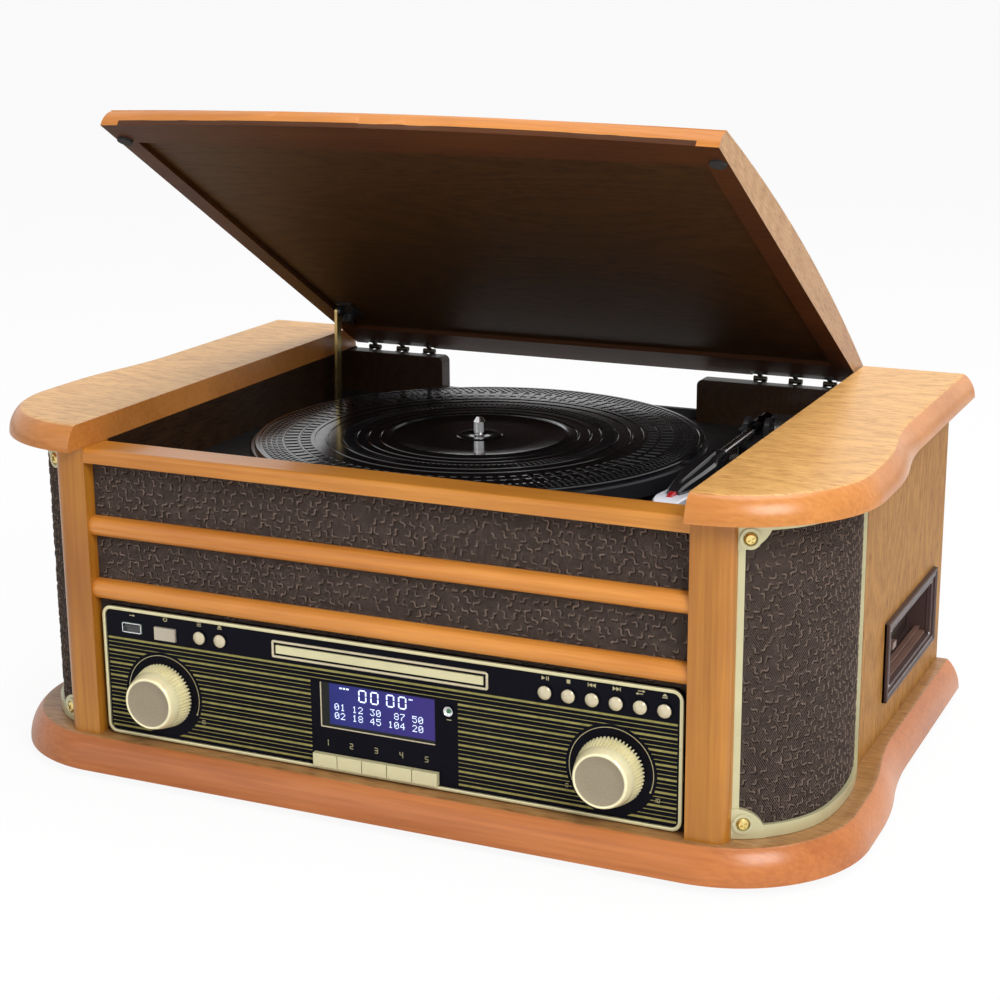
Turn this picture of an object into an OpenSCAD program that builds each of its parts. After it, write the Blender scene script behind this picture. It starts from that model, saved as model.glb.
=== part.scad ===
// Stereo music centre: a wooden cabinet with a turntable under a hinged lid,
// a disc tray, a cassette slot in the right side and cloth speaker corners.
// Millimetres. X to the right, Y to the back, Z up. The origin is the centre
// of the footprint on the surface that the feet stand on.

/* [Cabinet] */
// width over the straight sides of the base
body_w = 514; // [420:1:640]
// depth of the base, front to back
body_d = 344; // [300:1:440]
// height of the posts and side panels
body_h = 175.5; // [160:0.5:230]
// height of the rubber feet
foot_h = 5; // [3:0.5:12]
// radius of a rubber foot
foot_r = 10; // [6:1:14]
// radius of the rounded front corners
corner_r = 80; // [60:1:95]
// how far the front corners swell past the sides
bulge = 9.5; // [4:0.5:14]
// length of the straight side of the swelling
bulge_flat = 24.5; // [10:0.5:40]
// radius of the two curves that lead back to the side
ease_r = 40; // [34:1:60]
// thickness of the base plank
base_t = 19; // [14:0.5:28]
// width of the rounded edge of the base plank
base_edge = 8.2; // [4:0.1:12]
// thickness of the wing boards on top
wing_t = 14.5; // [10:0.5:22]
// width of the rounded edge of the wing boards
wing_edge = 7.4; // [4:0.1:11]
// thickness of the side panels
side_t = 12; // [8:0.5:18]
// how far the side panels stand in from the edge of the base
side_in = 15.5; // [10:0.5:24]
// distance of the front end of the side panels from the back
side_l = 198.5; // [170:0.5:230]

/* [Front] */
// width of the well between the posts
well_w = 368; // [330:1:400]
// width of a front post
post_w = 22.5; // [16:0.5:30]
// depth of a front post
post_d = 25; // [18:0.5:34]
// radius of the outer edge of a front post
post_r = 8; // [3:0.5:12]
// distance of the front posts from the front edge of the base
post_in = 12.5; // [6:0.5:20]
// height of the top rail
rail_h = 8.3; // [6:0.1:14]
// depth of the top rail
rail_d = 21.5; // [14:0.5:28]
// how far the front board lies behind the posts
board_in = 9; // [5:0.5:14]
// thickness of the front board
board_t = 6; // [4:0.5:10]
// height of a half-round moulding
mould_h = 12; // [8:0.5:16]
// how far a moulding stands off the cloth
mould_d = 7.5; // [6.5:0.1:9]
// height of the middle of the lower moulding above the base
mould_low = 89.7; // [88.5:0.1:95]
// height of the middle of the upper moulding above the base
mould_high = 128; // [110:0.5:140]

/* [Speaker corners] */
// radius of the front curve of the speaker frame
frame_r = 60.5; // [50:0.5:66]
// radius of the flatter side curve of the speaker frame
frame_side_r = 160; // [120:1:220]
// thickness of the speaker frame
frame_t = 2.2; // [1.5:0.1:3]
// height of its top and bottom bands
frame_band = 7; // [4:0.5:12]
// angle that its upright strips cover
frame_strip = 4.4; // [3:0.1:8]
// radius of the corner lugs that take the screws
lug_r = 17; // [12:0.5:22]
// radius of a screw head
screw_r = 3.6; // [2.5:0.1:4.5]
// thickness of the speaker cloth on its backing
cloth_t = 1.6; // [1:0.1:3]
// radius of the speaker flange
speaker_r = 38.5; // [30:0.5:44]
// depth of a speaker behind its board
speaker_d = 26; // [18:0.5:28]
// thickness of the speaker board
baffle_t = 9; // [6:0.5:12]

/* [Lid] */
// thickness of the lid at its front and back edges
lid_t = 11.7; // [8:0.1:16]
// radius of the crown of the lid
crown_r = 1686; // [1200:1:3000]
// radius of the bowed front edge of the lid
bow_r = 2120; // [1500:1:4000]
// length of the lid at its corners
lid_l = 345.5; // [340:0.5:348]
// depth of the field sunk in its underside
field_d = 3; // [1.5:0.1:5]
// width of the side strips round the field
field_side = 12.5; // [8:0.5:20]
// width of the front strip round the field
field_front = 24; // [16:0.5:34]
// width of the back strip round the field
field_back = 30; // [18:0.5:40]
// how far the lid stands open in degrees
lid_open = 30.9; // [15:0.1:45]
// gap between the closed lid and the boards
lid_lift = 2.4; // [2:0.1:4]
// distance of the lid buffers behind the front corners of the lid
buffer_in = 18.3; // [12:0.1:30]
// height of the lid buffers
buffer_h = 1.4; // [1:0.1:1.7]

/* [Lid stay] */
// thickness of the brass strut
stay_t = 2; // [1.5:0.1:3]
// width of the brass strut
stay_w = 6; // [4:0.5:9]
// length of the strut below its pivot
stay_l = 84; // [76:1:92]
// distance of the strut from the middle plane
stay_x = 168; // [160:0.5:169]
// radius of the pivot pin of the strut
stay_pin_r = 1.5; // [1:0.1:2]

/* [Turntable] */
// height of the deck above the base
deck_up = 146; // [136:0.5:150]
// thickness of the deck
deck_t = 4; // [3:0.5:6]
// radius of the platter
platter_r = 140.5; // [120:0.5:144]
// middle of the platter, to the right
platter_x = -12; // [-20:0.5:0]
// middle of the platter, to the back
platter_y = 10.5; // [4:0.5:14]
// gap between the deck and the platter
platter_gap = 4; // [3:0.5:6]
// height of the platter
platter_h = 10; // [8:0.5:12]
// radius of the rubber mat
mat_r = 137.5; // [115:0.5:140]
// thickness of the rubber mat
mat_t = 2.5; // [1.5:0.1:3]
// radius of the spindle
spindle_r = 3.55; // [3:0.01:3.6]
// height of the spindle above the mat
spindle_up = 11; // [8:0.5:12]
// running clearance of the spindle in its bush
run = 0.04; // [0.02:0.01:0.08]
// radius of the belt rim under the platter
belt_rim_r = 50; // [40:0.5:70]
// radius of the motor pulley
pulley_r = 5; // [4:0.1:9]
// radius of the motor
motor_r = 16; // [12:0.5:20]
// height of the motor
motor_h = 24; // [18:0.5:30]

/* [Tonearm] */
// tonearm pivot, to the right
arm_x = 148.6; // [145:0.1:152]
// tonearm pivot, to the back
arm_y = 66; // [60:0.5:80]
// height of the tube above the deck
arm_up = 24; // [22:0.5:26]
// distance of the speed lever in front of the hinge boards
speed_in = 12; // [9:0.5:30]
// radius of the tonearm tube
tube_r = 2.6; // [2:0.1:4]
// distance from the pivot to the stylus
arm_l = 166; // [150:0.5:170]
// length of the cartridge shell
shell_l = 62; // [40:0.5:70]
// width of the cartridge shell
shell_w = 17; // [12:0.5:20]

/* [Fascia] */
// height of the fascia
fascia_h = 79.7; // [76:0.1:81.5]
// distance of the fascia from the posts
fascia_gap = 3.1; // [1:0.1:5]
// thickness of the fascia
fascia_t = 3.6; // [2.5:0.1:5]
// radius of the corners of the fascia
fascia_r = 6; // [3:0.5:10]
// width of its raised rim
rim_w = 2.2; // [1.5:0.1:3]
// height of its raised rim
rim_h = 0.6; // [0.3:0.1:1.2]
// height of the knobs above the base
knob_up = 29.6; // [27:0.1:32]
// distance of the knobs from the middle plane
knob_x = 140.6; // [132:0.1:146]
// radius of the knurled skirt of a knob
knob_r = 21; // [16:0.5:23]
// radius of the face of a knob
knob_face_r = 15.2; // [10:0.1:16]
// length of a knob in front of the fascia
knob_l = 17.4; // [12:0.1:20]
// length of its knurled skirt
skirt_l = 10.5; // [6:0.1:11]
// number of ribs on a knob
knob_ribs = 54; // [30:1:72]
// radius of a knob shaft
shaft_r = 3; // [2:0.1:4]
// radius of a round button
button_r = 3.8; // [3:0.1:4.5]
// height of the right row of buttons above the base
button_up = 67.7; // [64:0.1:70]
// height of the left pair of buttons above the base
pair_up = 68.5; // [64:0.1:70]
// spacing of the right row of buttons
button_pitch = 13.58; // [11.5:0.01:13.8]
// first button of the right row, to the right
button_x = 102.4; // [95:0.1:104]
// left button of the left pair, to the left
pair_x = 114.2; // [112:0.1:116]
// spacing of the left pair
pair_pitch = 13.8; // [11.5:0.1:16]
// travel of the buttons and keys
press = 1; // [0.6:0.1:1.1]
// width of the power key
power_w = 14.1; // [10:0.1:16]
// height of the power key
power_h = 7.7; // [5:0.1:9]
// middle of the power key, to the left
power_x = 137.3; // [136:0.1:141]
// height of the middle of the power key above the base
power_up = 67.7; // [64:0.1:70]
// spacing of the five keys
key_pitch = 15.76; // [12:0.01:18]
// height of a key
key_h = 7.6; // [5:0.1:9]
// height of the bottom of the keys above the base
key_up = 3.4; // [3.2:0.1:5]
// middle of the third key, to the left
key_x = 0.5; // [-5:0.1:5]
// width of the display window
window_w = 71.7; // [60:0.1:80]
// height of the display window
window_h = 26.7; // [20:0.1:30]
// bottom of the display window above the base
window_up = 26.8; // [20:0.1:30]
// middle of the display window, to the right
window_x = 0.6; // [-4:0.1:6]
// middle of the socket for memory sticks, to the left
usb_x = 160.7; // [158:0.1:163]
// height of its middle above the base
usb_up = 68.2; // [64:0.1:70]
// outer width of the socket
usb_w = 13.6; // [13:0.1:15]
// outer height of the socket
usb_h = 6.3; // [5.8:0.1:7.5]

/* [Disc tray] */
// width of the tray
tray_w = 129.4; // [126:0.1:134]
// thickness of the tray
tray_t = 4.8; // [4:0.1:6]
// depth of the tray
tray_l = 140; // [132:1:150]
// middle of the tray, to the right
tray_x = 1.5; // [-5:0.1:5]
// bottom of the tray above the base
tray_up = 66.6; // [64:0.1:68]
// travel of the tray
tray_travel = 118; // [80:1:125]
// radius of the disc hollow
disc_r = 60.8; // [60.5:0.1:62]

/* [Cassette] */
// width of the cassette frame, front to back
tape_w = 124.5; // [118:0.5:132]
// height of the cassette frame
tape_h = 49; // [44:0.5:56]
// front edge of the cassette frame
tape_y = 24.5; // [16:0.5:30]
// bottom of the cassette frame above the base
tape_up = 20; // [14:0.5:28]
// width of the cassette hollow
tape_hole_w = 104; // [102:0.5:108]
// height of the cassette hollow
tape_hole_h = 34; // [30:0.5:38]
// how far the cassette frame stands off the side
tape_lip = 2.5; // [1.5:0.1:4]
// depth of the hollow behind the frame
tape_well = 11; // [9:0.5:14]
// height of the cassette slot
slot_h = 16; // [14:0.5:18]
// travel of the eject key
eject_travel = 5; // [3:0.5:6]

/* [Hidden] */
$fn = 96;

wood_light = [0.62, 0.42, 0.22];
wood_edge = [0.66, 0.34, 0.14];
wood_dark = [0.16, 0.09, 0.06];
gold = [0.80, 0.74, 0.55];
black = [0.06, 0.06, 0.07];
steel = [0.75, 0.75, 0.76];

fit = 0.2;
edge_in = 6;
z_base = foot_h;
z0 = foot_h + base_t;
z1 = z0 + body_h;
half_w = body_w / 2;
y_front = -body_d / 2;
y_back = body_d / 2;
half_well = well_w / 2;
y_post = y_front + post_in;
y_board = y_post + board_in;
x_side = half_w - side_in;
y_side = y_back - side_l;
z_deck = z0 + deck_up;

// The outline of the base and wings, right half
corner_x = half_w + bulge - corner_r;
corner_y = y_front + corner_r;
ease_ang = acos(1 - bulge / (2 * ease_r));
ease_y = corner_y + bulge_flat;
ease_x = half_w + bulge - ease_r;
turn_x = ease_x + 2 * ease_r * cos(ease_ang);
turn_y = ease_y + 2 * ease_r * sin(ease_ang);

// Outline points as [x, y, outward x, outward y], round the corner to the back
arc_step = 5;
corner_n = 90 / arc_step;
ease_n = ceil(ease_ang / arc_step);

function arc_pt(cx, cy, r, a) = [cx + r * cos(a), cy + r * sin(a), cos(a), sin(a)];
function turn_pt(a) = [turn_x - ease_r * cos(a), turn_y - ease_r * sin(a), cos(a), sin(a)];
function outline() = concat(
  [for (i = [0 : corner_n]) arc_pt(corner_x, corner_y, corner_r, i * arc_step - 90)],
  [for (i = [0 : ease_n]) arc_pt(ease_x, ease_y, ease_r, i * ease_ang / ease_n)],
  [for (i = [ease_n - 1 : -1 : 0]) turn_pt(i * ease_ang / ease_n)],
  [[half_w, y_back, 1, 0]]);
function mirrored(pts) = [for (i = [len(pts) - 1 : -1 : 0])
  [-pts[i][0], pts[i][1], -pts[i][2], pts[i][3]]];
// The straight side that faces an outline, from the back at x to the front
function straight(pts, x) = [for (i = [len(pts) - 1 : -1 : 0]) [x, pts[i][1], 0, pts[i][3]]];

// The edge is a quarter hollow: upright at the bottom, w inwards at the top
edge_n = 8;

// Point i of pts lies straight across from point m - 1 - i, so strips close its faces
module moulded_board(pts, t, w) {
  r = (w * w + t * t) / (2 * w);
  top = asin(t / r);
  m = len(pts);
  points = [for (k = [0 : edge_n])
    let (a = top * k / edge_n, d = r - r * cos(a))
    for (q = pts) [q[0] - d * q[2], q[1] - d * q[3], k == edge_n ? t : r * sin(a)]];
  polyhedron(
    points = points,
    faces = concat(
      [for (i = [0 : m / 2 - 2]) [i, i + 1, m - 2 - i, m - 1 - i]],
      [for (i = [0 : m / 2 - 2]) [for (j = [m - 1 - i, m - 2 - i, i + 1, i]) edge_n * m + j]],
      [for (k = [0 : edge_n - 1]) for (i = [0 : m - 1])
        [k * m + i, (k + 1) * m + i, (k + 1) * m + (i + 1) % m, k * m + (i + 1) % m]]));
}

// Edge section of the lid: u = 0 is where it meets the top
module edge_section(t, w) {
  r = (w * w + t * t) / (2 * w);
  intersection() {
    translate([-edge_in, 0]) square([edge_in + w, t]);
    translate([w - r, 0]) circle(r);
  }
}

module both_sides() {
  children();
  mirror([1, 0, 0]) children();
}

module base_plank() {
  side = outline();
  color(wood_edge) translate([0, 0, z_base])
    moulded_board(concat(mirrored(side), side), base_t, base_edge);
}

foot_x = half_w - 40;
foot_y = y_back - 42;

module rubber_feet() {
  color(black) both_sides() for (y = [-foot_y, foot_y])
    translate([foot_x, y, 0]) rotate_extrude()
      polygon([[0, 0], [foot_r - 1.5, 0], [foot_r, 1.5], [foot_r, foot_h], [0, foot_h]]);
}

module left_side_panel() {
  color(wood_light) translate([-x_side, y_side, z0]) cube([side_t, side_l, body_h]);
}

tape_body = 3.5;
z_tape = z0 + tape_up;

module right_side_panel() {
  color(wood_light) difference() {
    translate([x_side - side_t, y_side, z0]) cube([side_t, side_l, body_h]);
    translate([x_side - side_t - 1, tape_y + tape_body, z_tape + tape_body])
      cube([side_t + 2, tape_w - 2 * tape_body, tape_h - 2 * tape_body]);
  }
}

module front_posts() {
  color(wood_edge) both_sides() translate([half_well, y_post, z0]) linear_extrude(body_h) {
    square([post_w - post_r, post_d]);
    translate([0, post_r]) square([post_w, post_d - post_r]);
    translate([post_w - post_r, post_r]) circle(post_r);
  }
}

rail_r = 3;
z_rail = z1 - rail_h - fit;

module top_rail() {
  color(wood_edge) translate([-half_well, y_post, z_rail]) rotate([90, 0, 90])
    linear_extrude(well_w) {
      square([rail_d, rail_h - rail_r]);
      translate([rail_r, 0]) square([rail_d - rail_r, rail_h]);
      translate([rail_r, rail_h - rail_r]) circle(rail_r);
    }
}

// D-shaped strips on the cloth
module moulding(z) {
  r = mould_h / 2;
  translate([-half_well, y_board, z0 + z]) rotate([90, 0, 90]) linear_extrude(well_w) {
    translate([r - mould_d, 0]) circle(r);
    translate([r - mould_d, -r]) square([mould_d - r, mould_h]);
  }
}

module front_mouldings() {
  color(wood_edge) {
    difference() {
      moulding(mould_low);
      translate([-half_well, y_board, z0]) cube([well_w, mould_h, body_h]);
    }
    difference() {
      moulding(mould_high);
      translate([-half_well, y_board, z0]) cube([well_w, mould_h, body_h]);
    }
  }
}

fascia_w = well_w - 2 * fascia_gap;
z_fascia = z0 + 0.7;
y_fascia = y_board - fascia_t;
pocket = 5;

// The cloth-covered board, open behind the fascia
module front_board() {
  color(wood_dark) difference() {
    translate([-half_well, y_board, z0]) cube([well_w, board_t, z_rail - z0]);
    translate([-fascia_w / 2 + pocket, y_board - 1, z0 + pocket - 3])
      cube([fascia_w - 2 * pocket, board_t + 2, fascia_h - pocket]);
  }
}

wing_in = 1;

module wing_boards() {
  side = outline();
  inner = straight(side, half_well + wing_in);
  color(wood_light) translate([0, 0, z1]) both_sides()
    moulded_board(concat(inner, side), wing_t, wing_edge);
}

// The speaker corner: two curves that meet without a kink
post_out = half_well + post_w;
start_ang = asin((post_out - corner_x) / frame_r) - 1;
bend_ang = 80;
side_cx = corner_x - (frame_side_r - frame_r) * sin(bend_ang);
side_cy = corner_y + (frame_side_r - frame_r) * cos(bend_ang);
y_frame_end = y_side - 0.4;
end_ang = 180 - acos((y_frame_end - side_cy) / frame_side_r);

// Everything on the post's side of its outer face
module post_side() {
  translate([half_well - 10, y_front, z0 - 1]) cube([post_w + 10, post_d + 20, body_h + 2]);
}

// Angles, measured from the front, at which the sheets have their points
sheet_step = 3;
end_strip = 1.2;
front_n = ceil((bend_ang - start_ang - frame_strip) / sheet_step);
side_n = ceil((end_ang - end_strip - bend_ang) / sheet_step);
angs = concat([start_ang],
  [for (i = [0 : front_n]) start_ang + frame_strip
    + i * (bend_ang - start_ang - frame_strip) / front_n],
  [for (i = [1 : side_n]) bend_ang + i * (end_ang - end_strip - bend_ang) / side_n],
  [end_ang]);
last = len(angs) - 1;

function sheet_pt(a, d) = a <= bend_ang
  ? [corner_x + (frame_r - d) * sin(a), corner_y - (frame_r - d) * cos(a)]
  : [side_cx + (frame_side_r - d) * sin(a), side_cy - (frame_side_r - d) * cos(a)];

// A curved sheet between depths d0 and d1 behind the frame face, from point i0 to i1
module corner_sheet(d0, d1, h, i0, i1) {
  linear_extrude(h) polygon(concat([for (i = [i0 : i1]) sheet_pt(angs[i], d0)],
    [for (i = [i1 : -1 : i0]) sheet_pt(angs[i], d1)]));
}

z_frame = z0 + 0.3;
frame_h = body_h - 0.6;
lug_ang = start_ang + 6.5;
lug_in = 11;
screw_z = [z_frame + lug_in - 2.5, z_frame + frame_h - lug_in];

module lug(top) {
  intersection() {
    corner_sheet(-0.8, frame_t, frame_h, 0, 8);
    translate([corner_x, corner_y, top ? frame_h : 0]) rotate([90, 0, start_ang + 2])
      translate([0, 0, 20]) cylinder(r = lug_r, h = frame_r);
  }
}

module lug_ring(z) {
  translate([corner_x, corner_y, z]) rotate([90, 0, lug_ang])
    translate([0, 0, frame_r]) difference() {
      cylinder(r = screw_r + 2, h = 1.6);
      translate([0, 0, -1]) cylinder(r = screw_r + 0.3, h = 4);
    }
}

module grille_frames() {
  color(gold) both_sides() difference() {
    union() {
      translate([0, 0, z_frame]) {
        corner_sheet(0, frame_t, frame_band, 0, last);
        translate([0, 0, frame_h - frame_band])
          corner_sheet(0, frame_t, frame_band, 0, last);
        corner_sheet(0, frame_t, frame_h, 0, 1);
        corner_sheet(0, frame_t, frame_h, last - 1, last);
        lug(false);
        lug(true);
      }
      for (z = screw_z) lug_ring(z);
    }
    for (z = screw_z) translate([corner_x, corner_y, z]) rotate([90, 0, lug_ang])
      translate([0, 0, frame_r - 12]) cylinder(r = 1.6, h = 14);
    post_side();
  }
}

// Pan-head screws with a cross recess
module grille_screws() {
  color([0.80, 0.68, 0.30]) both_sides() for (z = screw_z)
    translate([corner_x, corner_y, z]) rotate([90, 0, lug_ang]) difference() {
      union() {
        translate([0, 0, frame_r + 0.9]) cylinder(r1 = screw_r, r2 = screw_r - 1.2, h = 1.5);
        translate([0, 0, frame_r - 1.8]) cylinder(r = 1.5, h = 3);
      }
      for (a = [30, 120]) rotate([0, 0, a])
        translate([-screw_r * 0.55, -0.5, frame_r + 1.4]) cube([screw_r * 1.1, 1, 2]);
    }
}

module grille_cloths() {
  color([0.17, 0.11, 0.09]) both_sides() difference() {
    translate([0, 0, z0])
      corner_sheet(frame_t + fit, frame_t + fit + cloth_t, body_h, 0, last);
    post_side();
  }
}

// Speaker boards run from the back of a post to the front end of a side panel
y_post_back = y_post + post_d;
bx0 = post_out - baffle_t;
bx1 = x_side - side_t - 2;
baffle_ang = atan((bx1 - bx0) / (y_side - y_post_back));
speaker_z = z0 + 74;
speaker_cx = (bx0 + bx1) / 2 + baffle_t;
speaker_cy = (y_post_back + y_side) / 2;

module at_speaker() {
  translate([speaker_cx, speaker_cy, speaker_z]) rotate([90, 0, 90 - baffle_ang]) children();
}

module speaker_boards() {
  color([0.45, 0.36, 0.26]) both_sides() difference() {
    translate([0, 0, z0]) linear_extrude(body_h)
      polygon([[bx0, y_post_back], [post_out, y_post_back],
        [bx1 + baffle_t, y_side], [bx1, y_side]]);
    at_speaker() translate([0, 0, -30]) cylinder(r = speaker_r - 4, h = 60);
    translate([0, 0, z0 - 1])
      corner_sheet(-30, frame_t + cloth_t + 2 * fit, body_h + 2, 0, last);
  }
}

module speakers() {
  color([0.12, 0.12, 0.13]) both_sides() at_speaker() rotate_extrude() {
    r = speaker_r;
    d = speaker_d;
    polygon([[0, -d], [r * 0.55, -d], [r * 0.55, -d * 0.6], [r * 0.62, -d * 0.6],
      [r - 4.5, 0.2], [r, 0.2], [r, 3], [r - 6, 3], [r - 7, 1.5],
      [r * 0.36, -d * 0.34], [r * 0.3, -d * 0.26], [0, -d * 0.22]]);
  }
}

// Boards that line the turntable well
well_h = 59.5;
z_well = z1 - well_h;
hinge_board_t = 12;
well_board_t = 7;
notch_l = 110.5;
notch_r = 76.7;
notch_round = 4;
z_hinge_board = z1 - 0.9;
back_t = 4;
y_back_panel = y_back - back_t;
z_notch = z0 + 152;

module hinge_board(w) {
  difference() {
    rotate([90, 0, 0]) mirror([0, 0, 1]) linear_extrude(hinge_board_t) {
      square([w, z_hinge_board - z_well - notch_round]);
      translate([0, z_hinge_board - z_well - notch_round - 1])
        square([w - notch_round, notch_round + 1]);
      translate([w - notch_round, z_hinge_board - z_well - notch_round])
        circle(notch_round);
    }
    translate([-1, hinge_board_t - back_t - fit, -1])
      cube([w + 2, back_t + 1, z_notch - z_well + 1 + fit]);
  }
}

module well_boards() {
  color(wood_dark) {
    both_sides() translate([half_well, y_post_back, z_well])
      cube([well_board_t, y_back - hinge_board_t - y_post_back, well_h]);
    difference() {
      union() {
        translate([-half_well, y_back - hinge_board_t, z_well])
          hinge_board(half_well - notch_l);
        translate([half_well, y_back - hinge_board_t, z_well]) mirror([1, 0, 0])
          hinge_board(half_well - notch_r);
      }
      leaf_recess(z_hinge_board - leaf_t);
    }
  }
}

jack_x = [142, 158];
cord_x = -150;
vent_n = 7;

module back_panel() {
  color(black) difference() {
    union() {
      translate([-x_side + side_t, y_back_panel, z0])
        cube([2 * (x_side - side_t), back_t, z_notch - z0]);
      both_sides() translate([half_well, y_back_panel, z0])
        cube([x_side - side_t - half_well, back_t, body_h]);
      for (x = jack_x) translate([x, y_back_panel, z0 + 40]) rotate([90, 0, 0])
        cylinder(r = 6, h = 12);
      translate([cord_x, y_back + 3, z0 + 30]) rotate([90, 0, 0]) cylinder(r = 9, h = 12);
    }
    for (x = jack_x) translate([x, y_back + 1, z0 + 40]) rotate([90, 0, 0])
      cylinder(r = 2.1, h = 12);
    translate([cord_x, y_back + 4, z0 + 30]) rotate([90, 0, 0]) cylinder(r = 3.4, h = 14);
    for (i = [0 : vent_n - 1]) translate([-42, y_back_panel - 1, z0 + 60 + i * 8])
      cube([84, back_t + 2, 3]);
  }
}

// The lid is drawn closed and then turned open about its hinge
hinge_sets = [[-170, -148, -127], [116, 140, 163]];
knuckle_w = 9;
leaf_t = 0.9;
z_lid = z_hinge_board + lid_lift;
axis_y = y_back + 1.6;
axis_z = z_hinge_board + lid_lift / 2;
barrel_r = 1.7;
pin_r = 0.8;
lid_y1 = axis_y - 2.9;
lid_half = half_well - 0.5;

module lid_place() {
  translate([0, axis_y, axis_z]) rotate([-lid_open, 0, 0]) translate([0, -axis_y, -axis_z])
    children();
}

// Crowned slab with a bowed front edge and a sunk field below
lid_corner_y = lid_y1 - lid_l;
bow_cy = lid_corner_y + sqrt(bow_r * bow_r - lid_half * lid_half);
crown_mid = (lid_corner_y + lid_y1) / 2;
crown_z = lid_t - sqrt(crown_r * crown_r - pow(lid_l / 2, 2));
lid_edge = 6;
bow_ang = 6;

module lid() {
  color(wood_light) lid_place() difference() {
    intersection() {
      translate([-lid_half, 0, z_lid]) rotate([90, 0, 90]) linear_extrude(2 * lid_half)
        intersection() {
          translate([lid_corner_y - 30, 0]) square([lid_l + 30, 40]);
          translate([crown_mid, crown_z]) circle(crown_r, $fn = 1440);
        }
      translate([0, bow_cy, z_lid]) rotate([0, 0, 270 - bow_ang])
        rotate_extrude(angle = 2 * bow_ang, $fn = 1440) {
          translate([bow_r - 400, -1]) square([400 - lid_edge, 60]);
          translate([bow_r - lid_edge, 0]) edge_section(lid_t, lid_edge);
          translate([bow_r - lid_edge - 1, -1]) square([1 + lid_edge, 1]);
        }
    }
    leaf_recess(z_lid);
    translate([-lid_half + field_side, lid_corner_y - 3 + field_front, z_lid - 1])
      cube([2 * (lid_half - field_side), lid_l + 3 - field_front - field_back, field_d + 1]);
  }
}

buffer_y = lid_corner_y + buffer_in;

module lid_buffers() {
  color(black) lid_place() both_sides()
    translate([half_well - 6, buffer_y, z_lid - buffer_h]) cylinder(r = 4.5, h = buffer_h);
}

// A hinge leaf let in flush, with its tabs, between heights z and z + leaf_t
module leaf(set, z, part) {
  n = len(set) - 1;
  translate([set[0] - knuckle_w / 2, y_back - 10, z])
    cube([set[n] - set[0] + knuckle_w, 7, leaf_t]);
  for (x = set) for (i = part) translate([x + (i - 1.5) * knuckle_w / 3 + fit / 2, y_back - 4, z])
    cube([knuckle_w / 3 - fit, axis_y - y_back + 4, leaf_t]);
}

module knuckles(set, part) {
  for (x = set) for (i = part)
    translate([x + (i - 1.5) * knuckle_w / 3 + fit / 2, axis_y, axis_z]) rotate([0, 90, 0])
      cylinder(r = barrel_r, h = knuckle_w / 3 - fit);
}

// Room for the leaves in the boards and the lid
module leaf_recess(z) {
  for (set = hinge_sets) translate([set[0] - knuckle_w / 2 - fit, y_back - 10 - fit, z])
    cube([set[len(set) - 1] - set[0] + knuckle_w + 2 * fit, 20, leaf_t]);
}

module cabinet_hinge_leaves() {
  color([0.2, 0.17, 0.12]) for (set = hinge_sets) {
    leaf(set, z_hinge_board - leaf_t, [0, 2]);
    knuckles(set, [0, 2]);
    for (x = set) translate([x - knuckle_w / 2, axis_y, axis_z]) rotate([0, 90, 0])
      cylinder(r = pin_r, h = knuckle_w);
  }
}

module lid_hinge_leaves() {
  color([0.2, 0.17, 0.12]) lid_place() difference() {
    for (set = hinge_sets) {
      leaf(set, z_lid, [1]);
      knuckles(set, [1]);
    }
    for (set = hinge_sets) for (x = set) translate([x - knuckle_w, axis_y, axis_z])
      rotate([0, 90, 0]) cylinder(r = pin_r + run, h = 2 * knuckle_w);
  }
}

// The strut hangs from a bracket in the lid field and runs through the deck
stay_y = axis_y - 67;
stay_z = z_lid - 0.4;
stay_lean = 2.8;
open_y = axis_y + (stay_y - axis_y) * cos(lid_open) + (stay_z - axis_z) * sin(lid_open);
open_z = axis_z - (stay_y - axis_y) * sin(lid_open) + (stay_z - axis_z) * cos(lid_open);

module lid_stay() {
  color([0.62, 0.52, 0.25]) translate([-stay_x, open_y, open_z]) rotate([-stay_lean, 0, 0])
    difference() {
      union() {
        translate([-stay_t / 2, -stay_w / 2, -stay_l]) cube([stay_t, stay_w, stay_l]);
        translate([-stay_t / 2, 0, 0]) rotate([0, 90, 0]) cylinder(r = stay_w / 2, h = stay_t);
      }
      translate([-stay_t, 0, 0]) rotate([0, 90, 0])
        cylinder(r = stay_pin_r + run, h = 2 * stay_t);
    }
}

// Round hub with its pin, screwed up into the field of the lid
module stay_bracket() {
  color(black) lid_place() translate([-stay_x, stay_y, stay_z]) {
    translate([stay_t / 2 + fit, -8, z_lid + field_d - stay_z - 1.2]) cube([12, 24, 1.2]);
    translate([stay_t / 2 + fit, 0, 0]) rotate([0, 90, 0])
      cylinder(r = z_lid + field_d - stay_z, h = 2);
    translate([-stay_t / 2 - 1.2, 0, 0]) rotate([0, 90, 0])
      cylinder(r = stay_pin_r, h = stay_t + 2);
    translate([stay_t / 2 + fit, 14, -3]) cylinder(r = 4, h = z_lid + field_d - stay_z + 3);
  }
}

// Deck with its bush and the slot for the strut
bush_r = 7;
bush_h = 20;
slot_w = 17;
stay_slot_y = open_y - 2.6;
motor_x = platter_x - 86;
motor_y = platter_y + 20;
rest_in = 92;
arm_lean = 1.4;

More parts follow.
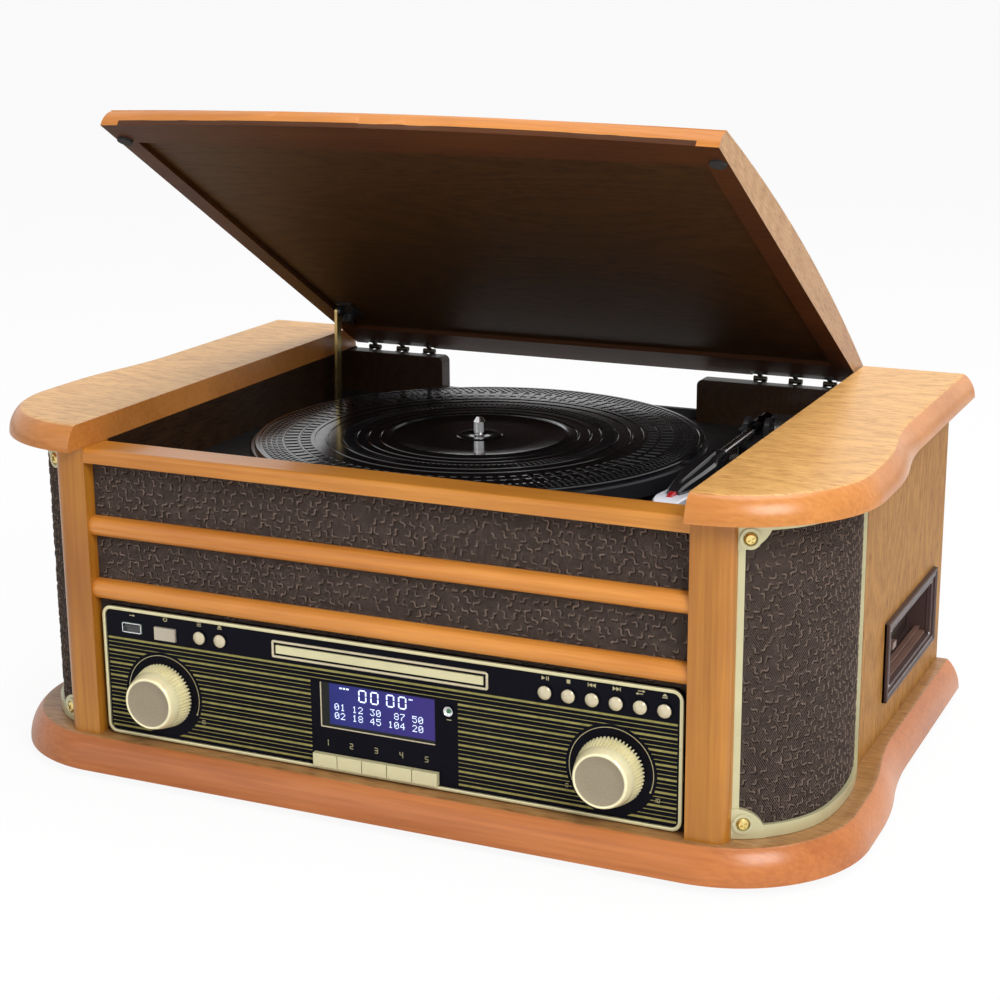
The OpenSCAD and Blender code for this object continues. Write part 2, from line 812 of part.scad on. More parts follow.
module deck() {
  color(black) difference() {
    union() {
      translate([-half_well + fit, y_board + board_t + fit, z_deck - deck_t])
        cube([well_w - 2 * fit,
          y_back - hinge_board_t - y_board - board_t - 2 * fit, deck_t]);
      translate([-notch_l, y_back - hinge_board_t - 1, z_deck - deck_t])
        cube([notch_l + notch_r, hinge_board_t + 1 - back_t - fit, deck_t]);
      translate([platter_x, platter_y, z_deck - bush_h]) cylinder(r = bush_r, h = bush_h);
      both_sides() translate([half_well - 12, y_post_back + 20, z_deck - deck_t - 5])
        cube([12 - fit, 200, 5]);
    }
    translate([platter_x, platter_y, z_deck - bush_h - 1])
      cylinder(r = spindle_r + run, h = bush_h + deck_t);
    translate([motor_x, motor_y, z_deck - deck_t - 1]) cylinder(r = 3, h = deck_t + 2);
    translate([-stay_x - stay_t, stay_slot_y - slot_w / 2, z_deck - deck_t - 6])
      cube([2 * stay_t, slot_w, deck_t + 8]);
  }
}

z_platter = z_deck + platter_gap;
rim_t = 4;
web_t = 4;

module platter() {
  color([0.25, 0.25, 0.27]) translate([platter_x, platter_y, z_platter]) rotate_extrude()
    polygon([[spindle_r, platter_h - web_t - 4], [spindle_r, platter_h], [platter_r - 1, platter_h],
      [platter_r, platter_h - 1], [platter_r, 0], [platter_r - rim_t, 0],
      [platter_r - rim_t, platter_h - web_t], [belt_rim_r, platter_h - web_t],
      [belt_rim_r, -1], [belt_rim_r - 3, -1], [belt_rim_r - 3, platter_h - web_t],
      [bush_r, platter_h - web_t], [bush_r, platter_h - web_t - 4]]);
}

z_mat = z_platter + platter_h;
ring_n = 7;
ring_pitch = 9.6;

// Rubber mat with raised rings and a sunk label field
module platter_mat() {
  color([0.05, 0.05, 0.05]) translate([platter_x, platter_y, z_mat]) difference() {
    rotate_extrude() difference() {
      translate([spindle_r + 0.25, 0]) square([mat_r - spindle_r - 0.25, mat_t]);
      translate([16, mat_t - 0.8]) square([34, 1]);
      for (i = [0 : ring_n - 1]) translate([mat_r - 8 - i * ring_pitch, mat_t - 0.5])
        square([1.4, 1]);
    }
  }
}

// The spindle has a thin neck just above the mat and a tapered tip
neck_h = 0.8;
tip_h = 3;

module spindle() {
  color(steel) translate([platter_x, platter_y, 0]) {
    translate([0, 0, z_deck - bush_h])
      cylinder(r = spindle_r, h = z_mat + mat_t - z_deck + bush_h);
    translate([0, 0, z_mat + mat_t - 0.5]) cylinder(r = spindle_r - 0.4, h = neck_h + 1);
    translate([0, 0, z_mat + mat_t + neck_h])
      cylinder(r = spindle_r, h = spindle_up - tip_h - neck_h);
    translate([0, 0, z_mat + mat_t + spindle_up - tip_h])
      cylinder(r1 = spindle_r, r2 = 1.6, h = tip_h);
  }
}

module motor() {
  color(steel) translate([motor_x, motor_y, z_deck - deck_t - motor_h]) difference() {
    union() {
      cylinder(r = motor_r, h = motor_h);
      translate([0, 0, -2]) cylinder(r = 4, h = 3);
    }
    translate([0, 0, 4]) cylinder(r = 1 + run, h = motor_h);
  }
}

belt_h = 4;
z_belt = z_deck + 3.4;

module motor_pulley() {
  color([0.8, 0.7, 0.4]) translate([motor_x, motor_y, 0]) {
    translate([0, 0, z_deck - deck_t - motor_h + 4.2]) cylinder(r = 1, h = motor_h + deck_t);
    translate([0, 0, z_deck + 0.4]) rotate_extrude()
      polygon([[0, 0], [pulley_r + 1, 0], [pulley_r + 1, 1], [pulley_r, 1.8],
        [pulley_r, 7.8], [0, 7.8]]);
  }
}

module belt_loop(g) {
  dx = motor_x - platter_x;
  dy = motor_y - platter_y;
  d = sqrt(dx * dx + dy * dy);
  a = atan2(dy, dx);
  b = acos((belt_rim_r - pulley_r) / d);
  circle(belt_rim_r + g);
  translate([dx, dy]) circle(pulley_r + g);
  polygon([for (s = [-1, 1]) (belt_rim_r + g) * [cos(a + s * b), sin(a + s * b)],
    for (s = [1, -1]) [dx, dy] + (pulley_r + g) * [cos(a + s * b), sin(a + s * b)]]);
}

module drive_belt() {
  color([0.1, 0.1, 0.1]) translate([platter_x, platter_y, z_belt]) linear_extrude(belt_h)
    difference() {
      belt_loop(0.8);
      belt_loop(0.2);
    }
}

z_arm = z_deck + arm_up;
post_top = z_arm - 12;

// Round base with a block behind it, and the arm rest with its stop
module tonearm_base() {
  color(black) difference() {
    union() {
      translate([arm_x, arm_y, z_deck]) cylinder(r = 17, h = 4);
      translate([arm_x, arm_y, z_deck]) cylinder(r = 12, h = post_top - z_deck);
      translate([arm_x - 20, arm_y + 22, z_deck]) cube([50, 52, 15]);
      translate([arm_x - 14, arm_y + 14, z_deck]) cube([36, 12, 10]);
    }
    translate([arm_x, arm_y, z_deck + 2]) cylinder(r = 2.5 + run, h = 30);
  }
  color(black) translate([arm_x, arm_y, z_deck]) rotate([0, 0, arm_lean]) {
    translate([-6, -rest_in, 0]) cube([6 + tube_r, 8, arm_up - tube_r - fit]);
    translate([tube_r + fit, -rest_in, 0]) cube([2.6, 8, arm_up]);
  }
}

// Yoke that turns on the base and holds the tube between two cheeks
cheek_t = 3;
cheek_gap = 5;

module tonearm_yoke() {
  color(black) translate([arm_x, arm_y, 0]) rotate([0, 0, arm_lean]) difference() {
    union() {
      translate([0, 0, z_deck + 2.3]) cylinder(r = 2.5, h = post_top - z_deck);
      translate([0, 0, post_top + fit]) cylinder(r = 12, h = 3);
      for (s = [-1, 1]) translate([s * (cheek_gap + cheek_t / 2) - cheek_t / 2, -7, post_top + 2])
        cube([cheek_t, 14, 12]);
      translate([-cheek_gap - cheek_t, 0, z_arm]) rotate([0, 90, 0])
        cylinder(r = 5.5, h = cheek_t);
      translate([cheek_gap, 0, z_arm]) rotate([0, 90, 0]) cylinder(r = 5.5, h = cheek_t);
    }
    translate([-20, 0, z_arm]) rotate([0, 90, 0]) cylinder(r = 1.5 + run, h = 40);
  }
}

shell_front = 11;

module arm_place() {
  translate([arm_x, arm_y, z_arm]) rotate([0, 0, arm_lean]) children();
}

// Tube with its cross pin and the weight behind the pivot
module tonearm_tube() {
  color(steel) arm_place() {
    rotate([90, 0, 0]) translate([0, 0, -12])
      cylinder(r = tube_r, h = arm_l + shell_front - shell_l + 23);
    rotate([90, 0, 0]) translate([0, 0, -5]) cylinder(r = cheek_gap - 0.6, h = 10);
    rotate([0, 90, 0]) translate([0, 0, -cheek_gap - cheek_t + 0.4])
      cylinder(r = 1.5, h = 2 * (cheek_gap + cheek_t) - 0.8);
    rotate([-90, 0, 0]) translate([0, 0, 11]) cylinder(r = 4.4, h = 9);
  }
}

// Tapered shell with a finger lift and the stylus guard under its tip
module cartridge_shell() {
  color(black) arm_place() translate([0, -arm_l - shell_front, 0]) difference() {
    union() {
      translate([0, 0, -4.6]) linear_extrude(8.6) polygon([[-shell_w * 0.32, 0],
        [shell_w * 0.32, 0], [shell_w / 2, 8], [shell_w / 2, shell_l * 0.55],
        [shell_w * 0.28, shell_l], [-shell_w * 0.28, shell_l],
        [-shell_w / 2, shell_l * 0.55], [-shell_w / 2, 8]]);
      translate([-shell_w / 2 - 8, 9, -1]) cube([11, 4, 1.4]);
      translate([-shell_w * 0.4, -4, -7]) cube([shell_w * 0.8, 24, 2.6]);
      translate([-2, shell_front - 2, -6]) cube([4, 4, 3]);
    }
    translate([0, shell_l + 1, 0]) rotate([90, 0, 0]) cylinder(r = tube_r + run, h = 13);
    translate([-shell_w / 2 - 1, -1, 1.2]) rotate([-9, 0, 0])
      translate([0, -20, 0]) cube([shell_w + 2, 34, 20]);
  }
}

speed_x = arm_x + 18;
speed_y = y_back - hinge_board_t - speed_in;

module speed_lever() {
  color([0.7, 0.7, 0.72]) translate([speed_x, speed_y, z_deck + fit]) {
    cylinder(r = 7, h = 4);
    translate([-1.5, -7, 0]) cube([3, 14, 9]);
  }
}

// Fascia: a plate with holes, a raised rim and the slots of the tray and keys
module rounded(w, h, r) {
  translate([r, 0]) square([w - 2 * r, h]);
  translate([0, r]) square([w, h - 2 * r]);
  for (x = [r, w - r]) for (y = [r, h - r]) translate([x, y]) circle(r);
}

// Draws a flat shape of the front plane, from depth y_fascia - up to y_fascia + t
module on_fascia(up, t) {
  translate([0, y_fascia + t, 0]) rotate([90, 0, 0]) linear_extrude(up + t) children();
}

row_x = [for (i = [0 : 5]) button_x + i * button_pitch];
z_row = z0 + button_up;
z_pair = z0 + pair_up;
pair_xs = [-pair_x, -pair_x + pair_pitch];
z_tray = z0 + tray_up;
z_keys = z0 + key_up;
key_w = key_pitch - 0.6;
key_x0 = -key_x - 2.5 * key_pitch;
slot_gap = 0.3;
tray_line = 1.3;
tray_gap = 1.2;
z_knob = z0 + knob_up;
window_x0 = window_x - window_w / 2;
z_window = z0 + window_up;
sensor_x = 45.2;
z_sensor = z_window + 21.5;
pillar_x = [-166, -60, 62, 166];
board_gap = 4.5;

module fascia() {
  color(black) difference() {
    union() {
      on_fascia(0, fascia_t) translate([-fascia_w / 2, z_fascia])
        rounded(fascia_w, fascia_h, fascia_r);
      on_fascia(rim_h, 1) difference() {
        translate([-fascia_w / 2, z_fascia]) rounded(fascia_w, fascia_h, fascia_r);
        translate([-fascia_w / 2 + rim_w, z_fascia + rim_w])
          rounded(fascia_w - 2 * rim_w, fascia_h - 2 * rim_w, fascia_r - rim_w);
      }
      on_fascia(0.5, 1) difference() {
        translate([tray_x - tray_w / 2 - slot_gap - tray_gap - tray_line,
          z_tray - slot_gap - tray_gap - tray_line])
          square([tray_w + 2 * (slot_gap + tray_gap + tray_line),
            tray_t + 2 * (slot_gap + tray_gap + tray_line)]);
        translate([tray_x - tray_w / 2 - slot_gap - tray_gap, z_tray - slot_gap - tray_gap])
          square([tray_w + 2 * (slot_gap + tray_gap), tray_t + 2 * (slot_gap + tray_gap)]);
      }
      for (x = row_x) on_fascia(0.6, 1) translate([x, z_row]) circle(button_r + 1);
      for (x = pair_xs) on_fascia(0.6, 1) translate([x, z_pair]) circle(button_r + 1);
      on_fascia(0.6, 1) translate([sensor_x, z_sensor]) circle(3.2);
      for (x = pillar_x) translate([x, y_board - 1, z0 + 12]) rotate([-90, 0, 0])
        cylinder(r = 3, h = board_gap + 1);
    }
    for (x = row_x) on_fascia(5, fascia_t + 1) translate([x, z_row]) circle(button_r + fit);
    for (x = pair_xs) on_fascia(5, fascia_t + 1) translate([x, z_pair]) circle(button_r + fit);
    on_fascia(5, fascia_t + 1) translate([sensor_x, z_sensor]) circle(2.2);
    on_fascia(5, fascia_t + 1)
      translate([tray_x - tray_w / 2 - slot_gap, z_tray - slot_gap])
        square([tray_w + 2 * slot_gap, tray_t + 2 * slot_gap]);
    on_fascia(5, fascia_t + 1) translate([window_x0 - fit, z_window - fit])
      square([window_w + 2 * fit, window_h + 2 * fit]);
    on_fascia(5, fascia_t + 1) translate([key_x0 - slot_gap, z_keys - fit])
      square([5 * key_pitch + slot_gap, key_h + 2 * fit]);
    on_fascia(5, fascia_t + 1)
      translate([-power_x - power_w / 2 - fit, z0 + power_up - power_h / 2 - fit])
        square([power_w + 2 * fit, power_h + 2 * fit]);
    on_fascia(5, fascia_t + 1)
      translate([-usb_x - usb_w / 2 - fit, z0 + usb_up - usb_h / 2 - fit])
        square([usb_w + 2 * fit, usb_h + 2 * fit]);
    for (s = [-1, 1]) on_fascia(5, fascia_t + 1) translate([s * knob_x, z_knob])
      circle(shaft_r + 0.6);
  }
}

module display() {
  color([0.08, 0.12, 0.45]) translate([window_x0, y_fascia + 0.5, z_window])
    cube([window_w, board_gap + fascia_t - 0.5 - fit, window_h]);
}

// A knurled skirt, a smooth cone and a flat face on a shaft
module knob(x) {
  rib_h = 0.8;
  translate([x, y_fascia - 0.5, z_knob]) rotate([90, 0, 0]) {
    difference() {
      linear_extrude(skirt_l) polygon([for (i = [0 : 4 * knob_ribs - 1])
        (knob_r - (i % 4 < 2 ? 0 : rib_h)) * [cos(i * 90 / knob_ribs), sin(i * 90 / knob_ribs)]]);
      translate([0, 0, -1]) cylinder(r = knob_r - 3, h = skirt_l - 1);
    }
    translate([0, 0, skirt_l]) cylinder(r1 = knob_r - 1, r2 = knob_face_r + 1,
      h = knob_l - skirt_l - 1.2);
    translate([0, 0, knob_l - 1.2]) cylinder(r1 = knob_face_r + 1, r2 = knob_face_r, h = 0.7);
    translate([0, 0, -fascia_t - board_gap - 6]) cylinder(r = shaft_r,
      h = fascia_t + board_gap + 7 + skirt_l);
    cylinder(r = shaft_r + 3, h = skirt_l);
  }
}

module volume_knob() {
  color(gold) knob(-knob_x);
}

module tuning_knob() {
  color(gold) knob(knob_x);
}

// Buttons have a flange behind the fascia and a domed face
flange_t = 1;
dome_h = 1.5;
stick_out = 1;

module round_button(x, z) {
  dome_r = (button_r * button_r + dome_h * dome_h) / (2 * dome_h);
  color(gold) translate([x, y_board + flange_t + slot_gap, z]) rotate([90, 0, 0]) {
    cylinder(r = button_r + 1, h = flange_t);
    cylinder(r = button_r, h = flange_t + slot_gap + fascia_t + stick_out);
    translate([0, 0, flange_t + slot_gap + fascia_t + stick_out]) intersection() {
      translate([0, 0, dome_h - dome_r]) sphere(r = dome_r);
      cylinder(r = button_r, h = dome_h + 1);
    }
  }
}

// Square keys have a flange above and below
module square_key(x, z, w, h, out) {
  color(gold) translate([x, y_board + slot_gap, z]) {
    translate([0, 0, 0]) cube([w, flange_t, h]);
    translate([0, -slot_gap - fascia_t - out, 0]) cube([w, slot_gap + fascia_t + out + 0.5, h]);
  }
}

module power_key() {
  square_key(-power_x - power_w / 2, z0 + power_up - power_h / 2, power_w, power_h, 1.5);
}

module function_button() {
  round_button(pair_xs[0], z_pair);
}

module disc_open_button() {
  round_button(pair_xs[1], z_pair);
}

module play_button() {
  round_button(row_x[0], z_row);
}

module stop_button() {
  round_button(row_x[1], z_row);
}

module back_button() {
  round_button(row_x[2], z_row);
}

module forward_button() {
  round_button(row_x[3], z_row);
}

module mode_button() {
  round_button(row_x[4], z_row);
}

module eject_button() {
  round_button(row_x[5], z_row);
}

key_out = 3;

module key_at(i) {
  square_key(key_x0 + i * key_pitch + 0.15, z_keys, key_w, key_h, key_out);
}

module menu_key() {
  key_at(0);
}

module info_key() {
  key_at(1);
}

module scan_key() {
  key_at(2);
}

module preset_key() {
  key_at(3);
}

module tone_key() {
  key_at(4);
}

// Board behind the fascia with its switches, encoders and the socket
pcb_t = 1.6;
y_pcb = y_board + board_gap;
switch_gap = flange_t + slot_gap + press + fit;
usb_wall = 0.6;

module switch_block(x, z) {
  translate([x - 2.5, y_board + switch_gap, z - 2.5]) cube([5, board_gap - switch_gap, 5]);
}

module control_board() {
  color([0.1, 0.3, 0.15]) difference() {
    union() {
      translate([-fascia_w / 2 + pocket + 2, y_pcb, z0 + 5])
        cube([fascia_w - 2 * pocket - 4, pcb_t, fascia_h - pocket - 5]);
      for (x = row_x) switch_block(x, z_row);
      for (x = pair_xs) switch_block(x, z_pair);
      for (i = [0 : 4]) switch_block(key_x0 + (i + 0.5) * key_pitch, z_keys + key_h / 2);
      switch_block(-power_x, z0 + power_up);
      for (s = [-1, 1]) translate([s * knob_x, y_pcb + pcb_t, z_knob]) rotate([90, 0, 0])
        cylinder(r = shaft_r + 3, h = pcb_t + board_gap - 1);
      for (s = [-1, 1]) translate([s * knob_x - 8, y_pcb + pcb_t - 0.5, z_knob - 8])
        cube([16, 7, 16]);
      translate([sensor_x, y_pcb, z_sensor]) rotate([90, 0, 0])
        cylinder(r = 2, h = board_gap + fascia_t + 0.4);
      translate([-usb_x - usb_w / 2, y_fascia + 0.2, z0 + usb_up - usb_h / 2])
        cube([usb_w, 18, usb_h]);
    }
    for (s = [-1, 1]) translate([s * knob_x, y_board + 20, z_knob]) rotate([90, 0, 0])
      cylinder(r = shaft_r + run, h = 40);
    translate([tray_x - tray_w / 2 - 5, y_pcb - 1, z_tray - 8])
      cube([tray_w + 10, 4, 40]);
    translate([-usb_x - usb_w / 2 + usb_wall, y_fascia - 1, z0 + usb_up - usb_h / 2 + usb_wall])
      cube([usb_w - 2 * usb_wall, 17, usb_h - 2 * usb_wall]);
  }
}

module power_supply() {
  color([0.35, 0.25, 0.15]) translate([cord_x - 30, y_back_panel - 90, z0]) {
    for (x = [6, 94]) for (y = [6, 64]) translate([x, y, 0]) cylinder(r = 3, h = 6);
    translate([0, 0, 6]) cube([100, 70, 1.6]);
    translate([50, 14, 7]) cube([34, 40, 32]);
    translate([42, 20, 12]) cube([50, 28, 22]);
    for (x = [12, 28]) translate([x, 20, 7]) cylinder(r = 6, h = 22);
  }
}

// Case of the disc drive, open at the front for the tray
drive_wall = 2;
z_drive = z_tray - 3 - drive_wall;
drive_l = 150;
drive_h = tray_t + 6 + 2 * drive_wall;
y_drive = y_pcb + pcb_t + 1;
drive_in = tray_w / 2 + 0.8;

module disc_drive() {
  color(steel) difference() {
    union() {
      translate([tray_x - drive_in - drive_wall, y_drive, z_drive])
        cube([2 * (drive_in + drive_wall), drive_l, drive_h]);
      for (x = [tray_x - drive_in - drive_wall, tray_x + drive_in - 6])
        translate([x, y_drive + 10, z0]) cube([6 + drive_wall, drive_l - 20, z_drive - z0 + 1]);
    }
    translate([tray_x - drive_in, y_drive - 1, z_tray - slot_gap])
      cube([2 * drive_in, drive_l - drive_wall + 1, tray_t + 2 * slot_gap]);
    translate([tray_x - drive_in + 4, y_drive - 1, z_drive + drive_wall])
      cube([2 * drive_in - 8, drive_l - drive_wall + 1, drive_h - 2 * drive_wall]);
  }
}

// Tray with the stepped disc hollow and the opening for the drive hub
y_tray = y_fascia - 0.6;
disc_y = y_tray + 12 + disc_r;

module disc_tray() {
  color(gold) difference() {
    translate([tray_x - tray_w / 2, y_tray, z_tray]) cube([tray_w, tray_l, tray_t]);
    translate([tray_x, disc_y, z_tray + tray_t - 1.8]) cylinder(r = disc_r, h = 5);
    translate([tray_x, disc_y, z_tray + tray_t - 2.8]) cylinder(r = 41, h = 5);
    translate([tray_x, disc_y, z_tray - 1]) cylinder(r = 19, h = 10);
    translate([tray_x - 16, disc_y, z_tray - 1]) cube([32, 50, 10]);
  }
}

// Cassette frame with a stepped border, a hollow and the slot in its back
hole_y = tape_y + (tape_w - tape_hole_w) / 2;
z_hole = z_tape + (tape_h - tape_hole_h) / 2;
well_wall = 2;
x_well = x_side - tape_well;
slot_y0 = hole_y + 1;
slot_w2 = tape_hole_w - 2;
z_slot = z_hole + 1.5;
eject_w = 9;
eject_h = 4.5;
z_eject = z_hole + slot_h + 5;

module cassette_frame() {
  color([0.18, 0.12, 0.10]) difference() {
    union() {
      translate([x_side, tape_y, z_tape]) cube([tape_lip * 0.5, tape_w, tape_h]);
      translate([x_side, tape_y + 1.6, z_tape + 1.6])
        cube([tape_lip, tape_w - 3.2, tape_h - 3.2]);
      translate([x_well - well_wall, tape_y + tape_body + fit, z_tape + tape_body + fit])
        cube([tape_well + well_wall + 0.5, tape_w - 2 * tape_body - 2 * fit,
          tape_h - 2 * tape_body - 2 * fit]);
    }
    translate([x_side + tape_lip - 1, tape_y + 4.6, z_tape + 4.6])
      cube([2, tape_w - 9.2, tape_h - 9.2]);
    translate([x_well, hole_y, z_hole]) cube([40, tape_hole_w, tape_hole_h]);
    translate([x_well - 10, slot_y0, z_slot]) cube([20, slot_w2, slot_h]);
    translate([x_well - 10, hole_y + 3 - fit, z_eject - fit])
      cube([20, eject_w + 2 * fit, eject_h + 2 * fit]);
  }
}

flap_t = 1.8;
flap_gap = 0.5;
x_flap = x_well - well_wall - flap_t - fit;
z_flap_axis = z_slot + slot_h + 1.2;
flap_pin_r = 0.8;

// Flap that hangs behind the slot and swings inwards
module cassette_flap() {
  color([0.14, 0.10, 0.09]) {
    translate([x_flap, slot_y0 + flap_gap, z_slot + 0.4])
      cube([flap_t, slot_w2 - 2 * flap_gap, slot_h + 0.4]);
    translate([x_flap + flap_t / 2, slot_y0 - 4, z_flap_axis]) rotate([-90, 0, 0])
      cylinder(r = flap_pin_r, h = slot_w2 + 8);
  }
}

key_in = 14;

module cassette_eject_key() {
  color([0.2, 0.14, 0.12]) {
    translate([x_well - well_wall - key_in, hole_y + 3, z_eject])
      cube([key_in + well_wall + tape_well - 2, eject_w, eject_h]);
  }
}

// Transport behind the frame: a case with the cassette bay and ears for the flap
bay_d = 66;
deck_wall = 4;
x_deck_end = x_well - well_wall;

module cassette_deck() {
  color(steel) difference() {
    translate([x_deck_end - bay_d - deck_wall - 4, hole_y - 5, z0])
      cube([bay_d + deck_wall + 4, tape_hole_w + 10, z_hole + tape_hole_h - z0 - 1]);
    translate([x_deck_end - bay_d - 4, slot_y0, z_slot]) cube([bay_d + 10, slot_w2, slot_h]);
    translate([x_flap - slot_h - 2, slot_y0 - 0.4, z_slot])
      cube([slot_h + 10, slot_w2 + 0.8, slot_h + 2.8]);
    translate([x_flap + flap_t / 2, slot_y0 - 5, z_flap_axis]) rotate([-90, 0, 0])
      cylinder(r = flap_pin_r + run, h = slot_w2 + 10);
    translate([x_deck_end - key_in - eject_travel - 1, hole_y + 3 - fit, z_eject - fit])
      cube([key_in + eject_travel + 10, eject_w + 2 * fit, eject_h + 2 * fit]);
  }
}

base_plank();
rubber_feet();
left_side_panel();
right_side_panel();
front_posts();
top_rail();
front_mouldings();
front_board();
wing_boards();
grille_frames();
grille_screws();
grille_cloths();
speaker_boards();
speakers();
well_boards();
back_panel();
lid();
lid_buffers();
cabinet_hinge_leaves();
lid_hinge_leaves();
lid_stay();
stay_bracket();
deck();
platter();
platter_mat();
spindle();
motor();
motor_pulley();
drive_belt();
tonearm_base();
tonearm_yoke();
tonearm_tube();
cartridge_shell();
speed_lever();
fascia();
display();
volume_knob();
tuning_knob();
power_key();
function_button();
disc_open_button();
play_button();
stop_button();
back_button();
forward_button();
mode_button();
eject_button();
menu_key();
info_key();
scan_key();
preset_key();
tone_key();
control_board();
power_supply();
disc_drive();
disc_tray();
cassette_frame();
cassette_flap();
cassette_eject_key();
cassette_deck();
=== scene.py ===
"""The looks of a wooden stereo music centre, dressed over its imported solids.

Lengths here are millimetres in the part's own frame, and become metres when a
mesh is made. X runs to the right, Y to the back and Z up.
"""

import math

import bmesh
import bpy
import numpy as np
from mathutils import Matrix, Vector


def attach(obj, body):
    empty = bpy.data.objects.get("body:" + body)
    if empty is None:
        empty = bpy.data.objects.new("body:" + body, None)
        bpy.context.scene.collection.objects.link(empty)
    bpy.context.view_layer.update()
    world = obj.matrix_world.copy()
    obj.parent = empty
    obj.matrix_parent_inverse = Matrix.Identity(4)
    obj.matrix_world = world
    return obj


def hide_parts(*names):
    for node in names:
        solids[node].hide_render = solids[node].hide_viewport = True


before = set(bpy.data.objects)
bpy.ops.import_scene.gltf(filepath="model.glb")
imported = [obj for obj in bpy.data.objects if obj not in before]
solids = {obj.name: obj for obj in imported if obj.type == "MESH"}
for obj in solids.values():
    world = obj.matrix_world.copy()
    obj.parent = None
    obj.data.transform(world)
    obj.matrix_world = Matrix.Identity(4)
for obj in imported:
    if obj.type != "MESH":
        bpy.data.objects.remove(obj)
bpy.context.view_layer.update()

MM = 0.001
TAU = 2 * math.pi

# Places that the pieces share with the solids
BASE_TOP, PANEL_TOP, WING_TOP = 24.0, 199.5, 214.0
FASCIA_FRONT = -154.1
BOARD_FRONT = -150.5
HALF_WELL = 184.0
PLATTER = (-12.0, 10.5)
MAT_LOW, MAT_TOP = 184.0, 186.5
KNOB_X, KNOB_Z = 140.6, 53.6
BUTTON_Z, PAIR_Z = 91.7, 92.5
BUTTON_XS = [102.4 + 13.58 * i for i in range(6)]
PAIR_XS = [-114.2, -100.4]
HINGE_Y, HINGE_Z, LID_OPEN = 173.6, 199.8, 30.9
LID_LOW = 201.0
CORNER = (186.5, -92.0)
SIDE_CENTRE = (88.51, -74.72)
FRAME_R, SIDE_R, BEND = 60.5, 160.0, 80.0
ARM = (148.6, 66.0, 194.0)
ARM_LEAN = 1.4
SENSOR = (45.2, 72.3)
POWER_X = -137.3
STICK_SOCKET = (-160.7, 92.2)
KEY_PITCH = 15.76
CLOTH_DEPTH, CLOTH_THICK = 2.4, 0.9
CORNER_CLOTH_START, CORNER_CLOTH_END = 19.6, 125.8
CORNER_SEED, FRONT_SEED = 11, 5


# ---------------------------------------------------------------- finishes


class Finish:
    """A material being made: short calls that add its nodes and join them."""

    NAMES = {
        "color": "Base Color", "rough": "Roughness", "metal": "Metallic",
        "coat": "Coat Weight", "coat_rough": "Coat Roughness", "normal": "Normal",
        "glow": "Emission Strength", "glow_color": "Emission Color",
        "spec": "Specular IOR Level",
    }

    def __init__(self, name, **surface):
        self.material = bpy.data.materials.new(name)
        self.material.use_nodes = True
        self.tree = self.material.node_tree
        self.tree.nodes.clear()
        self.surface = self.add("ShaderNodeBsdfPrincipled")
        out = self.add("ShaderNodeOutputMaterial")
        self.tree.links.new(self.surface.outputs[0], out.inputs["Surface"])
        where = self.add("ShaderNodeTexCoord")
        self.place = where.outputs["Object"]
        self.facing = where.outputs["Normal"]
        self.flat = where.outputs["UV"]
        self.set(**surface)

    def add(self, kind, **settings):
        node = self.tree.nodes.new(kind)
        for key, value in settings.items():
            setattr(node, key, value)
        return node

    def put(self, value, socket):
        if isinstance(value, bpy.types.NodeSocket):
            self.tree.links.new(value, socket)
        elif isinstance(value, tuple) and len(value) == 3 and socket.type == "RGBA":
            socket.default_value = (*value, 1.0)
        else:
            socket.default_value = value

    def set(self, **surface):
        for key, value in surface.items():
            self.put(value, self.surface.inputs[self.NAMES[key]])

    def calc(self, op, a, b=0.0, c=0.0):
        node = self.add("ShaderNodeMath", operation=op)
        for value, socket in zip((a, b, c), node.inputs):
            self.put(value, socket)
        return node.outputs[0]

    def split(self, vector):
        node = self.add("ShaderNodeSeparateXYZ")
        self.put(vector, node.inputs[0])
        return node.outputs[:]

    def mapped(self, vector, scale=(1, 1, 1), turn=(0, 0, 0), shift=(0, 0, 0)):
        node = self.add("ShaderNodeMapping")
        self.put(vector, node.inputs["Vector"])
        node.inputs["Scale"].default_value = scale
        node.inputs["Rotation"].default_value = turn
        node.inputs["Location"].default_value = shift
        return node.outputs[0]

    def noise(self, vector, size, detail=2.0, rough=0.5, stretch=(1, 1, 1)):
        """Noise whose grains are about size millimetres, longer where stretch is under 1."""
        node = self.add("ShaderNodeTexNoise")
        self.put(self.mapped(vector, stretch), node.inputs["Vector"])
        node.inputs["Scale"].default_value = 1000 / size
        node.inputs["Detail"].default_value = detail
        node.inputs["Roughness"].default_value = rough
        return node.outputs["Fac"]

    def span(self, value, low, high, to_low=0.0, to_high=1.0):
        """value from low..high carried to to_low..to_high, held at the ends."""
        node = self.add("ShaderNodeMapRange")
        for v, socket in zip((value, low, high, to_low, to_high), node.inputs):
            self.put(v, socket)
        return node.outputs[0]

    def mix(self, share, a, b):
        node = self.add("ShaderNodeMix", data_type="RGBA", blend_type="MIX")
        self.put(share, node.inputs[0])
        self.put(a, node.inputs[6])
        self.put(b, node.inputs[7])
        return node.outputs[2]

    def bump(self, height, depth, strength=1.0):
        """Relief of depth millimetres from a height of 0 to 1."""
        node = self.add("ShaderNodeBump")
        node.inputs["Distance"].default_value = depth * MM
        node.inputs["Strength"].default_value = strength
        self.put(height, node.inputs["Height"])
        return node.outputs[0]


AXES = {"x": 0, "y": 1, "z": 2}


def along(axis, share):
    """Stretch factors for noise that runs along one axis."""
    return tuple(share if i == AXES[axis] else 1.0 for i in range(3))


